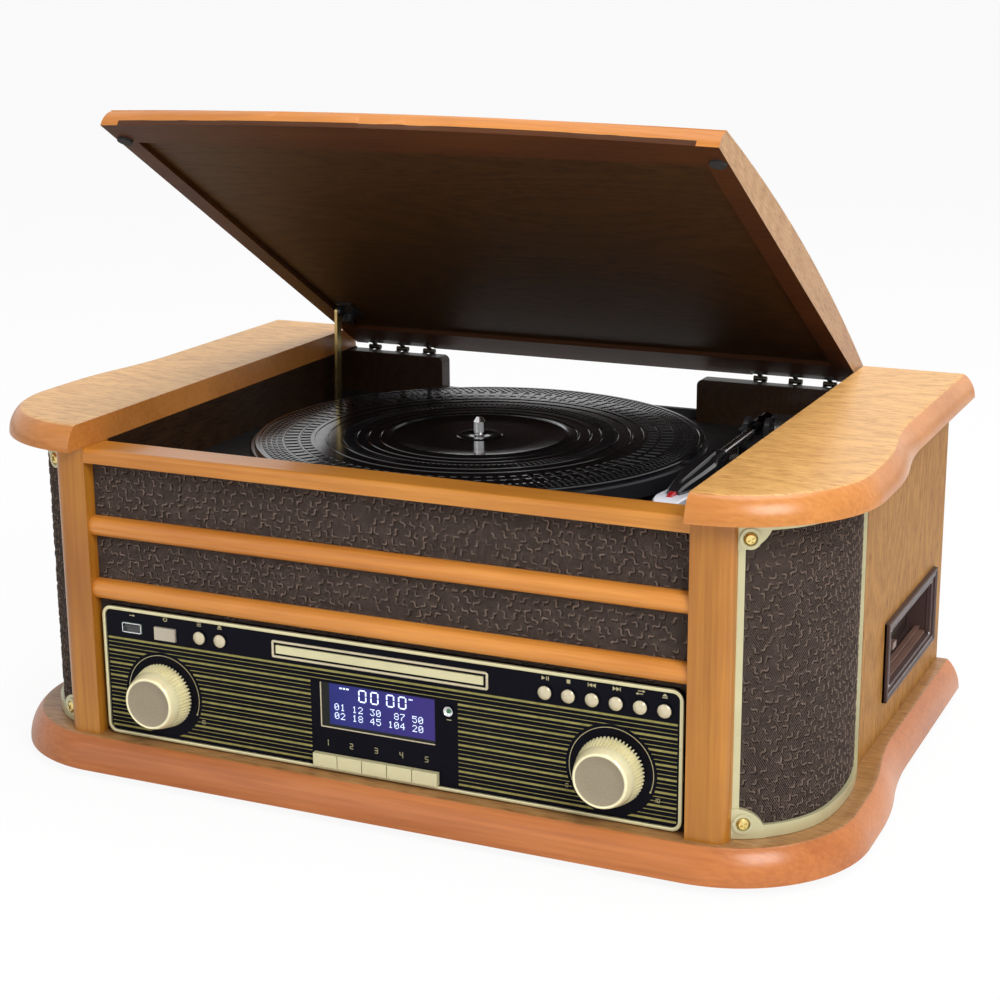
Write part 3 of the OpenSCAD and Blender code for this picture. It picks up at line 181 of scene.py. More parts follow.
def grain(k, place, axis, figure=1.0, pore=1.0, scale=1.0):
    """Wood grain from 0, dark, to 1, light: fibres, open pores and the flame that
    contour lines of a slow noise draw. Returns the shade and the pores."""
    fibre = k.noise(place, 1.1 * scale, 4, 0.6, along(axis, 0.07))
    streak = k.noise(place, 5.0 * scale, 3, 0.55, along(axis, 0.07))
    slow = k.noise(place, 85.0 * scale, 1.5, 0.4, along(axis, 0.28))
    lines = k.calc("SINE", k.calc("MULTIPLY", slow, 190.0))
    pores = k.noise(place, 0.9 * scale, 2, 0.5, along(axis, 0.10))
    pits = k.span(pores, 0.54, 0.64)
    shade = k.calc("MULTIPLY_ADD", k.calc("SUBTRACT", fibre, 0.5), 1.1, 0.62)
    shade = k.calc("MULTIPLY_ADD", k.calc("SUBTRACT", streak, 0.5), 0.30, shade)
    shade = k.calc("MULTIPLY_ADD", lines, 0.10 * figure, shade)
    shade = k.calc("MULTIPLY_ADD", pits, -0.55 * pore, shade)
    return k.span(shade, 0.0, 1.0), pits


def veneer_color(k, place, axis, light, dark, figure=1.0, pore=1.0, scale=1.0):
    shade, pits = grain(k, place, axis, figure, pore, scale)
    return k.mix(shade, dark, light), pits


def lacquer_color(k, place, axis, light, dark):
    """Stained solid wood under lacquer: soft mottling and faint fibres."""
    cloud = k.noise(place, 70.0, 3, 0.55, along(axis, 0.35))
    fibre = k.noise(place, 2.2, 4, 0.6, along(axis, 0.03))
    shade = k.calc("MULTIPLY_ADD", k.calc("SUBTRACT", fibre, 0.5), 0.7, cloud)
    return k.mix(k.span(shade, 0.28, 0.72), dark, light)


VENEER = ((0.790, 0.450, 0.150), (0.400, 0.180, 0.045))
SIDE = ((0.480, 0.235, 0.060), (0.200, 0.080, 0.014))
ORANGE = ((0.590, 0.232, 0.055), (0.430, 0.150, 0.028))
GOLDEN = ((0.470, 0.190, 0.020), (0.300, 0.100, 0.008))
RUSSET = ((0.520, 0.175, 0.046), (0.350, 0.100, 0.022))
# Lid underside: dark brown wood darkened further as painted shade
UNDERSIDE_PAINTED_SHADE = ((0.066, 0.027, 0.0055), (0.024, 0.0085, 0.002))


def board_finish(name, top_colors, edge_colors, axis="x"):
    """Veneer on the flat top, and lacquered solid wood on the moulded edge."""
    k = Finish(name, coat=0.18, coat_rough=0.2, spec=0.3)
    top, pits = veneer_color(k, k.place, axis, *top_colors)
    edge = lacquer_color(k, k.place, axis, *edge_colors)
    is_top = k.span(k.split(k.facing)[2], 0.86, 0.93)
    k.set(color=k.mix(is_top, edge, top), rough=k.span(is_top, 0, 1, 0.30, 0.42))
    pits_on_top = k.calc("MULTIPLY", pits, is_top)
    k.set(normal=k.bump(k.calc("SUBTRACT", 1.0, pits_on_top), 0.05, 0.6))
    return k.material


def panel_finish(name, colors, axis, coat=0.0, rough=0.45, **how):
    k = Finish(name, coat=coat, coat_rough=0.22, rough=rough, spec=0.06)
    color, pits = veneer_color(k, k.place, axis, *colors, **how)
    k.set(color=color, normal=k.bump(k.calc("SUBTRACT", 1.0, pits), 0.05, 0.6))
    return k.material


def lacquer_finish(name, colors, axis, coat=0.3):
    k = Finish(name, coat=coat, coat_rough=0.12, rough=0.33, spec=0.3)
    fine = k.noise(k.place, 1.6, 3, 0.6, along(axis, 0.05))
    k.set(color=lacquer_color(k, k.place, axis, *colors), normal=k.bump(fine, 0.03, 0.4))
    return k.material


def lid_finish():
    """The lid in its own closed frame: veneered top and sides, a lacquered front edge,
    and a dark brown underside, darkened further with painted shade, whose sunk field has
    horizontal grain; its inner walls take the same painted shade."""
    k = Finish("lid_wood", spec=0.22)
    turn = math.radians(LID_OPEN)
    y, z = HINGE_Y * MM, HINGE_Z * MM
    home = (0.0, y - (y * math.cos(turn) - z * math.sin(turn)),
            z - (y * math.sin(turn) + z * math.cos(turn)))
    place = k.mapped(k.place, turn=(turn, 0, 0), shift=home)
    facing = k.mapped(k.facing, turn=(turn, 0, 0))
    nx, _, nz = k.split(facing)
    nx = k.calc("ABSOLUTE", nx)
    top, pits = veneer_color(k, place, "x", *VENEER)
    side, _ = veneer_color(k, place, "y", (0.560, 0.345, 0.185), (0.330, 0.170, 0.075))
    # The underside field and its rim: dark brown wood darkened further with painted shade
    under, _ = veneer_color(k, place, "x", *UNDERSIDE_PAINTED_SHADE, figure=1.2, pore=0.9, scale=1.2)
    rim = lacquer_color(k, place, "x", (0.085, 0.026, 0.006), (0.045, 0.013, 0.003))
    edge = lacquer_color(k, place, "x", *ORANGE)
    px, py, pz = k.split(place)
    in_field = k.span(pz, (LID_LOW + 2.4) * MM, (LID_LOW + 2.8) * MM)
    below = k.mix(in_field, rim, under)
    # The lid's inner walls take the dark underside colour: painted shade
    inner = k.calc("MULTIPLY", k.calc("LESS_THAN", k.calc("ABSOLUTE", px), 0.1715),
                   k.calc("MULTIPLY", k.calc("LESS_THAN", py, 0.1412),
                          k.calc("LESS_THAN", pz, (LID_LOW + 3.1) * MM)))
    color = k.mix(k.span(nz, 0.80, 0.92), edge, top)
    color = k.mix(k.span(nx, 0.55, 0.75), color, side)
    color = k.mix(k.span(nz, -0.6, -0.8), color, below)
    color = k.mix(inner, color, below)
    k.set(color=color, rough=k.span(nz, -0.7, -0.9, 0.34, 0.55))
    k.set(normal=k.bump(k.calc("SUBTRACT", 1.0, pits), 0.05, 0.5))
    return k.material


def cloth_finish(name, place):
    """Speaker cloth: two fine crossing twills of brown yarns over a near black ground."""
    k = Finish(name, rough=0.95, spec=0.03)
    where = k.flat if place == "flat" else k.place
    u, v, w = k.split(where)
    if place != "flat":
        v = w
    lines = []
    for slope, pitch in ((0.62, 1.15), (-1.6, 1.35)):
        run = k.calc("MULTIPLY_ADD", v, slope, u)
        lines.append(k.calc("SINE", k.calc("MULTIPLY", run, TAU / (pitch * MM))))
    weave = k.calc("MULTIPLY_ADD", lines[0], 0.34, k.calc("MULTIPLY_ADD", lines[1], 0.26, 0.34))
    weave = k.calc("MULTIPLY_ADD", k.calc("MULTIPLY", lines[0], lines[1]), 0.30, weave)
    fleck = k.noise(where, 1.3, 3, 0.7)
    cloud = k.noise(where, 9.0, 2, 0.6)
    shade = k.calc("MULTIPLY_ADD", k.calc("SUBTRACT", fleck, 0.5), 1.5, weave)
    shade = k.calc("MULTIPLY_ADD", k.calc("SUBTRACT", cloud, 0.5), 0.5, shade)
    k.set(color=k.mix(k.span(shade, 0.15, 1.0), (0.006, 0.004, 0.004), (0.205, 0.152, 0.126)))
    k.set(normal=k.bump(shade, 0.2, 0.6))
    return k.material


def yarn_finish():
    k = Finish("raised_yarn", rough=0.9, spec=0.05)
    tone = k.noise(k.place, 2.5, 3, 0.6)
    k.set(color=k.mix(k.span(tone, 0.3, 0.7), (0.070, 0.050, 0.040), (0.190, 0.142, 0.115)))
    k.set(normal=k.bump(k.noise(k.place, 0.5, 2, 0.6), 0.1, 0.6))
    return k.material


def plastic_finish(name, color, rough=0.45, coat=0.0, speck=0.15, size=0.6, depth=0.02,
                   metal=0.0, spec=0.5):
    """Moulded plastic or paint: a fine skin, and slow changes of tone and gloss."""
    k = Finish(name, coat=coat, coat_rough=0.08, metal=metal, spec=spec)
    slow = k.noise(k.place, 35.0, 3, 0.55)
    low = tuple(c * (1 - speck) for c in color)
    high = tuple(min(1.0, c * (1 + speck)) for c in color)
    k.set(color=k.mix(k.span(slow, 0.3, 0.7), low, high))
    k.set(rough=k.span(k.noise(k.place, 8.0, 3, 0.6), 0.3, 0.7, rough * 0.88, rough * 1.12))
    k.set(normal=k.bump(k.noise(k.place, size, 3, 0.6), depth, 0.5))
    return k.material


def metal_finish(name, color, rough=0.3, brush=None, size=0.5, metal=1.0, depth=0.01):
    """Bare or plated metal, brushed along one axis where brush names it."""
    k = Finish(name, metal=metal)
    stretch = along(brush, 0.04) if brush else (1, 1, 1)
    marks = k.noise(k.place, size, 4, 0.6, stretch)
    tarnish = k.noise(k.place, 14.0, 3, 0.6)
    low = tuple(c * 0.84 for c in color)
    k.set(color=k.mix(k.span(tarnish, 0.3, 0.7), low, color))
    k.set(rough=k.span(marks, 0.2, 0.8, rough * 0.7, rough * 1.35))
    k.set(normal=k.bump(marks, depth, 0.5))
    return k.material


def glow_finish(name, color, strength):
    k = Finish(name, color=color, rough=0.6, glow_color=color, glow=strength)
    k.set(normal=k.bump(k.noise(k.place, 0.3, 2), 0.01, 0.3))
    return k.material


STRIPE_0, STRIPE_PITCH = 29.85, 7.843
DARK_X = (-41.6, 50.6)
KNOB_DISC = 26.1


def fascia_finish():
    """Gloss black panel printed with olive gold lines: each third line is thick. The
    print stops at the round fields of the knobs and at the field of the display."""
    k = Finish("fascia_print", spec=0.05)
    x, _, z = k.split(k.place)
    x = k.calc("MULTIPLY", x, 1000.0)
    z = k.calc("MULTIPLY", z, 1000.0)
    masks = []
    for pitch, half in ((STRIPE_PITCH, 0.62), (STRIPE_PITCH / 3, 0.19)):
        turns = k.calc("DIVIDE", k.calc("SUBTRACT", z, STRIPE_0), pitch)
        off = k.calc("SUBTRACT", k.calc("FRACT", k.calc("ADD", turns, 10.5)), 0.5)
        off = k.calc("MULTIPLY", k.calc("ABSOLUTE", off), pitch)
        masks.append(k.span(off, half + 0.07, half - 0.07))
    lines = k.calc("MAXIMUM", masks[0], masks[1])
    lines = k.calc("MULTIPLY", lines, k.calc("GREATER_THAN", z, STRIPE_0 - 1.2))
    lines = k.calc("MULTIPLY", lines, k.calc("LESS_THAN", z, STRIPE_0 + 7 * STRIPE_PITCH + 1.2))
    lines = k.calc("MULTIPLY", lines, k.calc("LESS_THAN", k.calc("ABSOLUTE", x), 177.6))
    outside = k.calc("MAXIMUM", k.calc("LESS_THAN", x, DARK_X[0]),
                     k.calc("GREATER_THAN", x, DARK_X[1]))
    outside = k.calc("MAXIMUM", outside, k.calc("GREATER_THAN", z, 78.9))
    lines = k.calc("MULTIPLY", lines, outside)
    for side in (-1, 1):
        dx = k.calc("SUBTRACT", x, side * KNOB_X)
        dz = k.calc("SUBTRACT", z, KNOB_Z)
        far = k.calc("SQRT", k.calc("ADD", k.calc("MULTIPLY", dx, dx), k.calc("MULTIPLY", dz, dz)))
        lines = k.calc("MULTIPLY", lines, k.calc("GREATER_THAN", far, KNOB_DISC))
    wear = k.noise(k.place, 5.0, 4, 0.65)
    gold = k.mix(k.span(wear, 0.3, 0.7), (0.215, 0.190, 0.060), (0.330, 0.295, 0.105))
    black = k.mix(k.span(k.noise(k.place, 40.0, 3), 0.3, 0.7), (0.0022, 0.0022, 0.0050),
                  (0.0045, 0.0045, 0.0085))
    k.set(color=k.mix(lines, black, gold), rough=k.span(lines, 0, 1, 0.16, 0.34))
    k.set(normal=k.bump(lines, 0.03, 0.6))
    return k.material


LCD_X, LCD_Z = (-29.9, 36.2), (52.9, 77.3)


def display_finish():
    """Backlit blue panel inside a smoked border, under a clear glossy front."""
    k = Finish("display_window", rough=0.2, spec=0.15)
    x, _, z = k.split(k.place)
    inside = 1.0
    for value, (low, high) in ((x, LCD_X), (z, LCD_Z)):
        a = k.span(value, (low - 0.2) * MM, (low + 0.3) * MM)
        b = k.span(value, (high + 0.2) * MM, (high - 0.3) * MM)
        inside = k.calc("MULTIPLY", k.calc("MULTIPLY", a, b), inside)
    cloud = k.noise(k.place, 22.0, 2, 0.5)
    side = k.span(x, LCD_X[0] * MM, LCD_X[1] * MM)
    blue = k.mix(k.span(cloud, 0.3, 0.7), (0.014, 0.020, 0.150), (0.024, 0.032, 0.200))
    blue = k.mix(side, blue, (0.048, 0.026, 0.185))
    k.set(color=k.mix(inside, (0.012, 0.014, 0.012), (0.008, 0.009, 0.050)))
    k.set(glow_color=k.mix(inside, (0.0, 0.0, 0.0), blue), glow=0.8)
    k.set(normal=k.bump(k.noise(k.place, 0.35, 1), 0.01, 0.2))
    return k.material


def knob_finish():
    """Pale champagne paint, and a duller tan face with fine spun rings."""
    k = Finish("knob_champagne", spec=0.6)
    x, y, z = k.split(k.place)
    dx = k.calc("SUBTRACT", k.calc("ABSOLUTE", x), KNOB_X * MM)
    dz = k.calc("SUBTRACT", z, KNOB_Z * MM)
    far = k.calc("SQRT", k.calc("ADD", k.calc("MULTIPLY", dx, dx), k.calc("MULTIPLY", dz, dz)))
    face = k.span(far, 14.1 * MM, 13.8 * MM)
    front = k.calc("LESS_THAN", y, (FASCIA_FRONT - 15.5) * MM)
    face = k.calc("MULTIPLY", face, front)
    rings = k.calc("SINE", k.calc("MULTIPLY", far, TAU / (0.55 * MM)))
    speck = k.noise(k.place, 0.9, 3, 0.7)
    tan = k.mix(k.span(speck, 0.3, 0.7), (0.250, 0.205, 0.135), (0.340, 0.285, 0.195))
    pale = k.mix(k.span(k.noise(k.place, 12.0, 3), 0.3, 0.7), (0.800, 0.740, 0.450),
                 (0.900, 0.840, 0.540))
    k.set(color=k.mix(face, pale, tan), rough=k.span(face, 0, 1, 0.2, 0.5))
    k.set(metal=k.span(face, 0, 1, 0.2, 0.3))
    k.set(normal=k.bump(k.calc("MULTIPLY", rings, face), 0.015, 0.5))
    return k.material


def arm_tube_finish():
    """Bright tube in front of the pivot, and black on the pivot and behind it."""
    k = Finish("arm_tube", metal=1.0)
    front = k.span(k.split(k.place)[1], 0.0495, 0.0485)
    marks = k.noise(k.place, 0.5, 4, 0.6, along("y", 0.04))
    k.set(color=k.mix(front, (0.02, 0.02, 0.022), (0.74, 0.75, 0.77)))
    k.set(rough=k.span(marks, 0.2, 0.8, 0.14, 0.26), normal=k.bump(marks, 0.01, 0.5))
    return k.material


FINISHES = {}


def make_finishes():
    f = FINISHES
    f["wing"] = board_finish("wing_wood", VENEER, ORANGE)
    f["base"] = board_finish("base_wood", ((0.420, 0.215, 0.075), (0.200, 0.085, 0.026)), RUSSET)
    f["side"] = panel_finish("side_veneer", SIDE, "z", scale=1.1)
    f["post"] = lacquer_finish("post_wood", GOLDEN, "z", 0.35)
    f["mould"] = lacquer_finish("moulding_wood", ((0.680, 0.270, 0.044), (0.480, 0.160, 0.020)), "x")
    f["rail"] = lacquer_finish("rail_wood", ((0.600, 0.245, 0.038), (0.430, 0.150, 0.018)), "x")
    f["dark"] = panel_finish("stained_board", ((0.040, 0.020, 0.010), (0.016, 0.008, 0.005)), "y",
                             coat=0.2, rough=0.4)
    f["lid"] = lid_finish()
    f["fibre"] = plastic_finish("fibreboard", (0.30, 0.20, 0.12), 0.9, speck=0.3, size=1.5, depth=0.2)
    f["cloth_flat"] = cloth_finish("cloth_on_board", "place")
    f["cloth_round"] = cloth_finish("cloth_on_corner", "flat")
    f["yarn"] = yarn_finish()
    f["fascia"] = fascia_finish()
    f["display"] = display_finish()
    f["knob"] = knob_finish()
    # Near-black flat marks beside the raised yarns: painted shadow
    f["painted_yarn_shadow"] = plastic_finish("cloth_shadow", (0.012, 0.009, 0.008), 0.95, 0, 0.3, 1.0, 0.05, 0, 0.0)
    # A lighter copy of the brown plastic: painted light, used on the slot ledge and the eject cap
    f["brown_light"] = plastic_finish("brown_plastic_painted_lit", (0.150, 0.082, 0.062), 0.35, 0, 0.2, spec=0.3)
    f["silver"] = plastic_finish("silver_key", (0.430, 0.375, 0.290), 0.3, 0.2, 0.1, metal=0.3)
    f["cream"] = plastic_finish("cream_gold", (0.640, 0.590, 0.345), 0.30, 0.25, 0.05, metal=0.15)
    f["champagne"] = plastic_finish("champagne", (0.560, 0.510, 0.330), 0.30, 0.2, 0.06, metal=0.35)
    f["pearl"] = plastic_finish("pearl_cap", (0.560, 0.490, 0.330), 0.25, 0.4, 0.05, metal=0.2)
    f["frame_gold"] = plastic_finish("frame_gold", (0.540, 0.505, 0.300), 0.32, 0.2, 0.08, metal=0.3)
    f["print"] = plastic_finish("gold_print", (0.420, 0.370, 0.200), 0.4, 0, 0.1)
    f["chrome"] = metal_finish("bright_chrome", (0.78, 0.78, 0.79), 0.12)
    f["steel"] = metal_finish("plain_steel", (0.52, 0.52, 0.53), 0.35, "x")
    f["tube"] = arm_tube_finish()
    f["brass"] = metal_finish("brushed_brass", (0.50, 0.38, 0.16), 0.3, "z")
    f["zinc"] = metal_finish("yellow_zinc", (0.78, 0.62, 0.24), 0.25)
    f["bronze"] = metal_finish("dark_bronze", (0.045, 0.036, 0.026), 0.4, metal=0.7)
    f["platter"] = metal_finish("dark_platter", (0.03, 0.03, 0.035), 0.18, metal=0.5)
    f["mat"] = plastic_finish("mat_rubber", (0.0045, 0.0045, 0.0055), 0.14, 0.0, 0.2, 0.8, 0.01, 0, 0.8)
    f["rubber"] = plastic_finish("foot_rubber", (0.014, 0.014, 0.014), 0.8, 0, 0.2, 0.9, 0.08)
    f["deck"] = plastic_finish("deck_plastic", (0.013, 0.013, 0.014), 0.38, 0.1, 0.2, 0.5, 0.04)
    f["black"] = plastic_finish("gloss_black", (0.010, 0.010, 0.012), 0.2, 0.5, 0.2)
    f["panel"] = plastic_finish("back_board", (0.020, 0.018, 0.017), 0.75, 0, 0.25, 1.2, 0.1)
    f["brown"] = plastic_finish("brown_plastic", (0.060, 0.034, 0.030), 0.35, 0, 0.15, spec=0.3)
    # A darker copy of the brown plastic: painted shade on the flap inside the cassette slot
    f["brown_painted_shade"] = plastic_finish("brown_plastic_painted_shade", (0.040, 0.024, 0.018), 0.35, 0.2, 0.2)
    f["board"] = plastic_finish("circuit_board", (0.030, 0.120, 0.050), 0.4, 0.3, 0.3, 3.0, 0.05)
    f["core"] = plastic_finish("laminated_core", (0.16, 0.09, 0.045), 0.6, 0, 0.35, 1.0, 0.1)
    f["cone"] = plastic_finish("paper_cone", (0.020, 0.020, 0.022), 0.7, 0, 0.3, 1.2, 0.15)
    f["guard"] = plastic_finish("white_guard", (0.80, 0.82, 0.88), 0.3, 0.4, 0.02)
    f["red"] = plastic_finish("stylus_red", (0.42, 0.012, 0.020), 0.3, 0.4, 0.1)
    f["segment"] = glow_finish("display_segment", (0.66, 0.76, 1.0), 0.85)


NODE_FINISH = {
    "base_plank": "base", "rubber_feet": "rubber", "left_side_panel": "side",
    "right_side_panel": "side", "front_posts": "post", "top_rail": "rail",
    "front_mouldings": "mould", "front_board": "cloth_flat", "wing_boards": "wing",
    "grille_frames": "frame_gold", "grille_screws": "zinc", "speaker_boards": "fibre",
    "speakers": "cone", "well_boards": "dark", "back_panel": "panel", "lid": "lid",
    "lid_buffers": "rubber", "cabinet_hinge_leaves": "bronze", "lid_hinge_leaves": "bronze",
    "lid_stay": "brass", "stay_bracket": "deck", "deck": "deck", "platter": "platter",
    "spindle": "chrome", "motor": "steel", "motor_pulley": "brass", "drive_belt": "rubber",
    "tonearm_base": "black", "tonearm_yoke": "deck", "tonearm_tube": "tube",
    "cartridge_shell": "black", "speed_lever": "steel", "fascia": "fascia",
    "display": "display", "volume_knob": "knob", "tuning_knob": "knob",
    "power_key": "silver", "control_board": "board", "power_supply": "core",
    "disc_drive": "steel", "disc_tray": "cream", "cassette_frame": "brown",
    "cassette_flap": "brown_painted_shade", "cassette_eject_key": "brown", "cassette_deck": "steel",
    "grille_cloths": "cloth_flat", "platter_mat": "mat",
}


def dress_solids():
    for name, solid in solids.items():
        if name.endswith("_button"):
            finish = "pearl"
        elif name.endswith("_key") and name not in NODE_FINISH:
            finish = "cream"
        else:
            finish = NODE_FINISH[name]
        solid.data.materials.clear()
        solid.data.materials.append(FINISHES[finish])


# ---------------------------------------------------------------- meshes


def piece(name, points, faces, body, finish, slot=None, smooth=40.0, uv=None, merge=False):
    """A piece from points in millimetres and faces. smooth is the angle in degrees
    above which an edge stays sharp; merge closes seams and poles."""
    mesh = bpy.data.meshes.new(name)
    faces = [list(map(int, f)) for f in faces]
    mesh.from_pydata((np.asarray(points, float) * MM).tolist(), [], faces)
    if uv is not None:
        layer = mesh.uv_layers.new(name="flat")
        loops = np.zeros(len(mesh.loops), np.int32)
        mesh.loops.foreach_get("vertex_index", loops)
        layer.data.foreach_set("uv", (np.asarray(uv, float)[loops] * MM).ravel())
    if merge:
        work = bmesh.new()
        work.from_mesh(mesh)
        bmesh.ops.remove_doubles(work, verts=work.verts, dist=1e-6)
        bmesh.ops.recalc_face_normals(work, faces=work.faces)
        work.to_mesh(mesh)
        work.free()
    mesh.shade_smooth()
    mesh.set_sharp_from_angle(angle=math.radians(smooth))
    mesh.materials.append(FINISHES[finish])
    thing = bpy.data.objects.new(name, mesh)
    bpy.context.scene.collection.objects.link(thing)
    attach(thing, body)
    return thing


def grid_faces(rows, columns, wrap_rows=False, wrap_columns=False):
    """Quads over a grid of rows by columns points, in row order."""
    r = np.arange(rows if wrap_rows else rows - 1)
    c = np.arange(columns if wrap_columns else columns - 1)
    i, j = np.meshgrid(r, c, indexing="ij")
    i2, j2 = (i + 1) % rows, (j + 1) % columns
    quads = np.stack([i * columns + j, i * columns + j2, i2 * columns + j2, i2 * columns + j], -1)
    return quads.reshape(-1, 4)


def lathe(profile, centre, axis="z", n=96):
    """Points (r, h) of a closed profile turned about an axis through centre: the point
    is centre plus r (cos a, sin a) across the axis and h along it."""
    p = np.asarray(profile, float)
    a = np.arange(n) * TAU / n
    r, h = p[:, 0][None, :], p[:, 1][None, :]
    u, v, w = r * np.cos(a)[:, None], r * np.sin(a)[:, None], h + 0 * a[:, None]
    if axis == "z":
        q = np.stack([u, v, w], -1)
    elif axis == "y":
        q = np.stack([u, w, v], -1)
    else:
        q = np.stack([w, u, v], -1)
    return (q + np.asarray(centre, float)).reshape(-1, 3), grid_faces(n, len(p), True, True)


def boxes(centres, sizes, turns=None):
    """Many boxes at once: each corner is the centre plus half the size with its signs,
    turned about Z by turns in radians."""
    c = np.asarray(centres, float)
    s = np.broadcast_to(np.asarray(sizes, float), c.shape) / 2
    signs = np.array([[x, y, z] for z in (-1, 1) for y in (-1, 1) for x in (-1, 1)], float)
    q = s[:, None, :] * signs[None]
    if turns is not None:
        t = np.asarray(turns, float)[:, None]
        x, y = q[..., 0].copy(), q[..., 1].copy()
        q[..., 0], q[..., 1] = x * np.cos(t) - y * np.sin(t), x * np.sin(t) + y * np.cos(t)
    base = np.array([[0, 2, 3, 1], [4, 5, 7, 6], [0, 1, 5, 4], [2, 6, 7, 3], [0, 4, 6, 2],
                     [1, 3, 7, 5]])
    faces = (base[None] + 8 * np.arange(len(c))[:, None, None]).reshape(-1, 4)
    return (q + c[:, None, :]).reshape(-1, 3), faces


def joined(parts):
    """Several (points, faces) as one."""
    points, faces, start = [], [], 0
    for p, f in parts:
        points.append(np.asarray(p, float))
        faces += [[int(i) + start for i in g] for g in f]
        start += len(p)
    return np.concatenate(points), faces


def loop_bead(path, across, section):
    """A section of (out, up) points carried round a closed flat path in the XZ plane.
    across gives each point's outward direction; up is towards the front, -Y."""
    p, a, s = (np.asarray(v, float) for v in (path, across, section))
    q = np.zeros((len(p), len(s), 3))
    q[..., 0] = p[:, None, 0] + a[:, None, 0] * s[None, :, 0]
    q[..., 2] = p[:, None, 1] + a[:, None, 1] * s[None, :, 0]
    q[..., 1] = FASCIA_FRONT - s[None, :, 1]
    return q.reshape(-1, 3), grid_faces(len(p), len(s), True, True)


def rounded_path(x0, z0, x1, z1, r, n=8):
    """Points and outward directions round a rectangle with rounded corners."""
    points, outward = [], []
    for cx, cz, a0 in ((x1 - r, z0 + r, -90), (x1 - r, z1 - r, 0), (x0 + r, z1 - r, 90),
                       (x0 + r, z0 + r, 180)):
        a = np.radians(a0 + np.linspace(0, 90, n))
        points.append(np.stack([cx + r * np.cos(a), cz + r * np.sin(a)], -1))
        outward.append(np.stack([np.cos(a), np.sin(a)], -1))
    return np.concatenate(points), np.concatenate(outward)


# ---------------------------------------------------------------- cloth


def corner_angle_points(side, depth, start, end, n):
    """The speaker corner's curve at a depth behind the frame's face: an arc about the
    corner's centre to BEND degrees from the front, then a flatter one. Also arc length."""
    a = np.linspace(start, end, n)
    r, cx, cy = curve_centre(a)
    r = r - depth
    t = np.radians(a)
    p = np.stack([side * (cx + r * np.sin(t)), cy - r * np.cos(t)], -1)
    run = np.concatenate([[0], np.cumsum(np.linalg.norm(np.diff(p, axis=0), axis=1))])
    return p, run, a


MARK_SHAPES = [
    [(-2.3, -1.5), (-0.4, -1.5), (0.0, -1.1), (0.0, 1.1), (0.4, 1.5), (2.3, 1.5)],
    [(-1.9, 1.3), (0.9, 1.3), (1.3, 0.9), (1.3, -0.4), (1.2, -1.5), (1.2, -2.0)],
    [(-1.6, -1.9), (-1.6, -0.3), (-1.3, 0.0), (1.3, 0.0), (1.6, 0.4), (1.6, 1.9)],
]


def yarn_marks(width, height, seed, pitch=6.0, half=0.55, rise=0.42):
    """Short raised yarns in (u, v, rise): bent strokes with a ridged section, on a
    shaken grid, each turned by quarter turns and some mirrored."""
    rng = np.random.default_rng(seed)
    us = np.arange(pitch / 2 + 0.4, width - pitch / 2, pitch)
    vs = np.arange(pitch / 2 + 0.4, height - pitch / 2, pitch * 0.93)
    u, v = np.meshgrid(us, vs, indexing="ij")
    u = (u + (np.arange(len(vs))[None, :] % 2) * pitch * 0.35).ravel()
    v = v.ravel()
    n = len(u)
    u = u + rng.uniform(-0.9, 0.9, n)
    v = v + rng.uniform(-0.9, 0.9, n)
    shape = np.asarray(MARK_SHAPES)[rng.integers(0, len(MARK_SHAPES), n)]
    shape = shape * rng.uniform(0.85, 1.12, n)[:, None, None]
    shape[..., 0] *= np.where(rng.random(n) < 0.5, -1.0, 1.0)[:, None]
    turn = rng.integers(0, 4, n) * TAU / 4 + rng.normal(0, 0.16, n)
    keep = (u > 3.2) & (u < width - 3.2) & (v > 3.0) & (v < height - 3.0) & (rng.random(n) > 0.05)
    c, s = np.cos(turn)[:, None], np.sin(turn)[:, None]
    x = shape[..., 0] * c - shape[..., 1] * s + u[:, None]
    y = shape[..., 0] * s + shape[..., 1] * c + v[:, None]
    path = np.stack([x, y], -1)[keep]
    step = np.gradient(path, axis=1)
    step /= np.linalg.norm(step, axis=-1, keepdims=True) + 1e-9
    normal = np.stack([-step[..., 1], step[..., 0]], -1)
    taper = np.array([0.45, 1, 1, 1, 1, 0.45])[None, :, None]
    rows = []
    for off, up in ((-half, 0.0), (-half * 0.45, rise), (half * 0.45, rise), (half, 0.0)):
        flat = path + normal * off * taper
        rows.append(np.concatenate([flat, np.full(flat.shape[:2] + (1,), up) * taper], -1))
    q = np.stack(rows, 2)
    m, k, w = q.shape[:3]
    quads = grid_faces(k, w)
    ends = np.array([[0, 1, 2, 3], [(k - 1) * w + 3, (k - 1) * w + 2, (k - 1) * w + 1, (k - 1) * w]])
    under = np.array([[i * w, (i + 1) * w, (i + 1) * w + 3, i * w + 3] for i in range(k - 1)])
    one = np.concatenate([quads[:, ::-1], ends, under[:, ::-1]])
    faces = (one[None] + (k * w) * np.arange(m)[:, None, None]).reshape(-1, 4)
    return q.reshape(-1, 3), faces


def curve_centre(degrees):
    """Radius and centre of the corner's curve at each angle from the front."""
    near = degrees <= BEND
    return (np.where(near, FRAME_R, SIDE_R), np.where(near, CORNER[0], SIDE_CENTRE[0]),
            np.where(near, CORNER[1], SIDE_CENTRE[1]))


def cloth_marks(label, lay, width, height, seed):
    """The raised yarns of one cloth and, beside them, flat near-black marks of painted shadow. lay takes
    points of (run, height, rise) to their places, and gives the direction of their faces."""
    made = []
    # The second kind is a flat near-black mark offset beside each yarn: painted shadow
    for kind, finish, off, how in (("yarns", "yarn", 0.0, {}),
                                   ("painted_shadows", "painted_yarn_shadow", 0.25, {"half": 0.95, "rise": 0.07})):
        marks, faces = yarn_marks(width, height, seed, **how)
        points, way = lay(marks + np.array([off, -off, 0.0]))
        made.append(piece(f"{label}_{kind}", points, faces[:, ::way], "cabinet", finish, "cloth",
                          smooth=80))
    return made


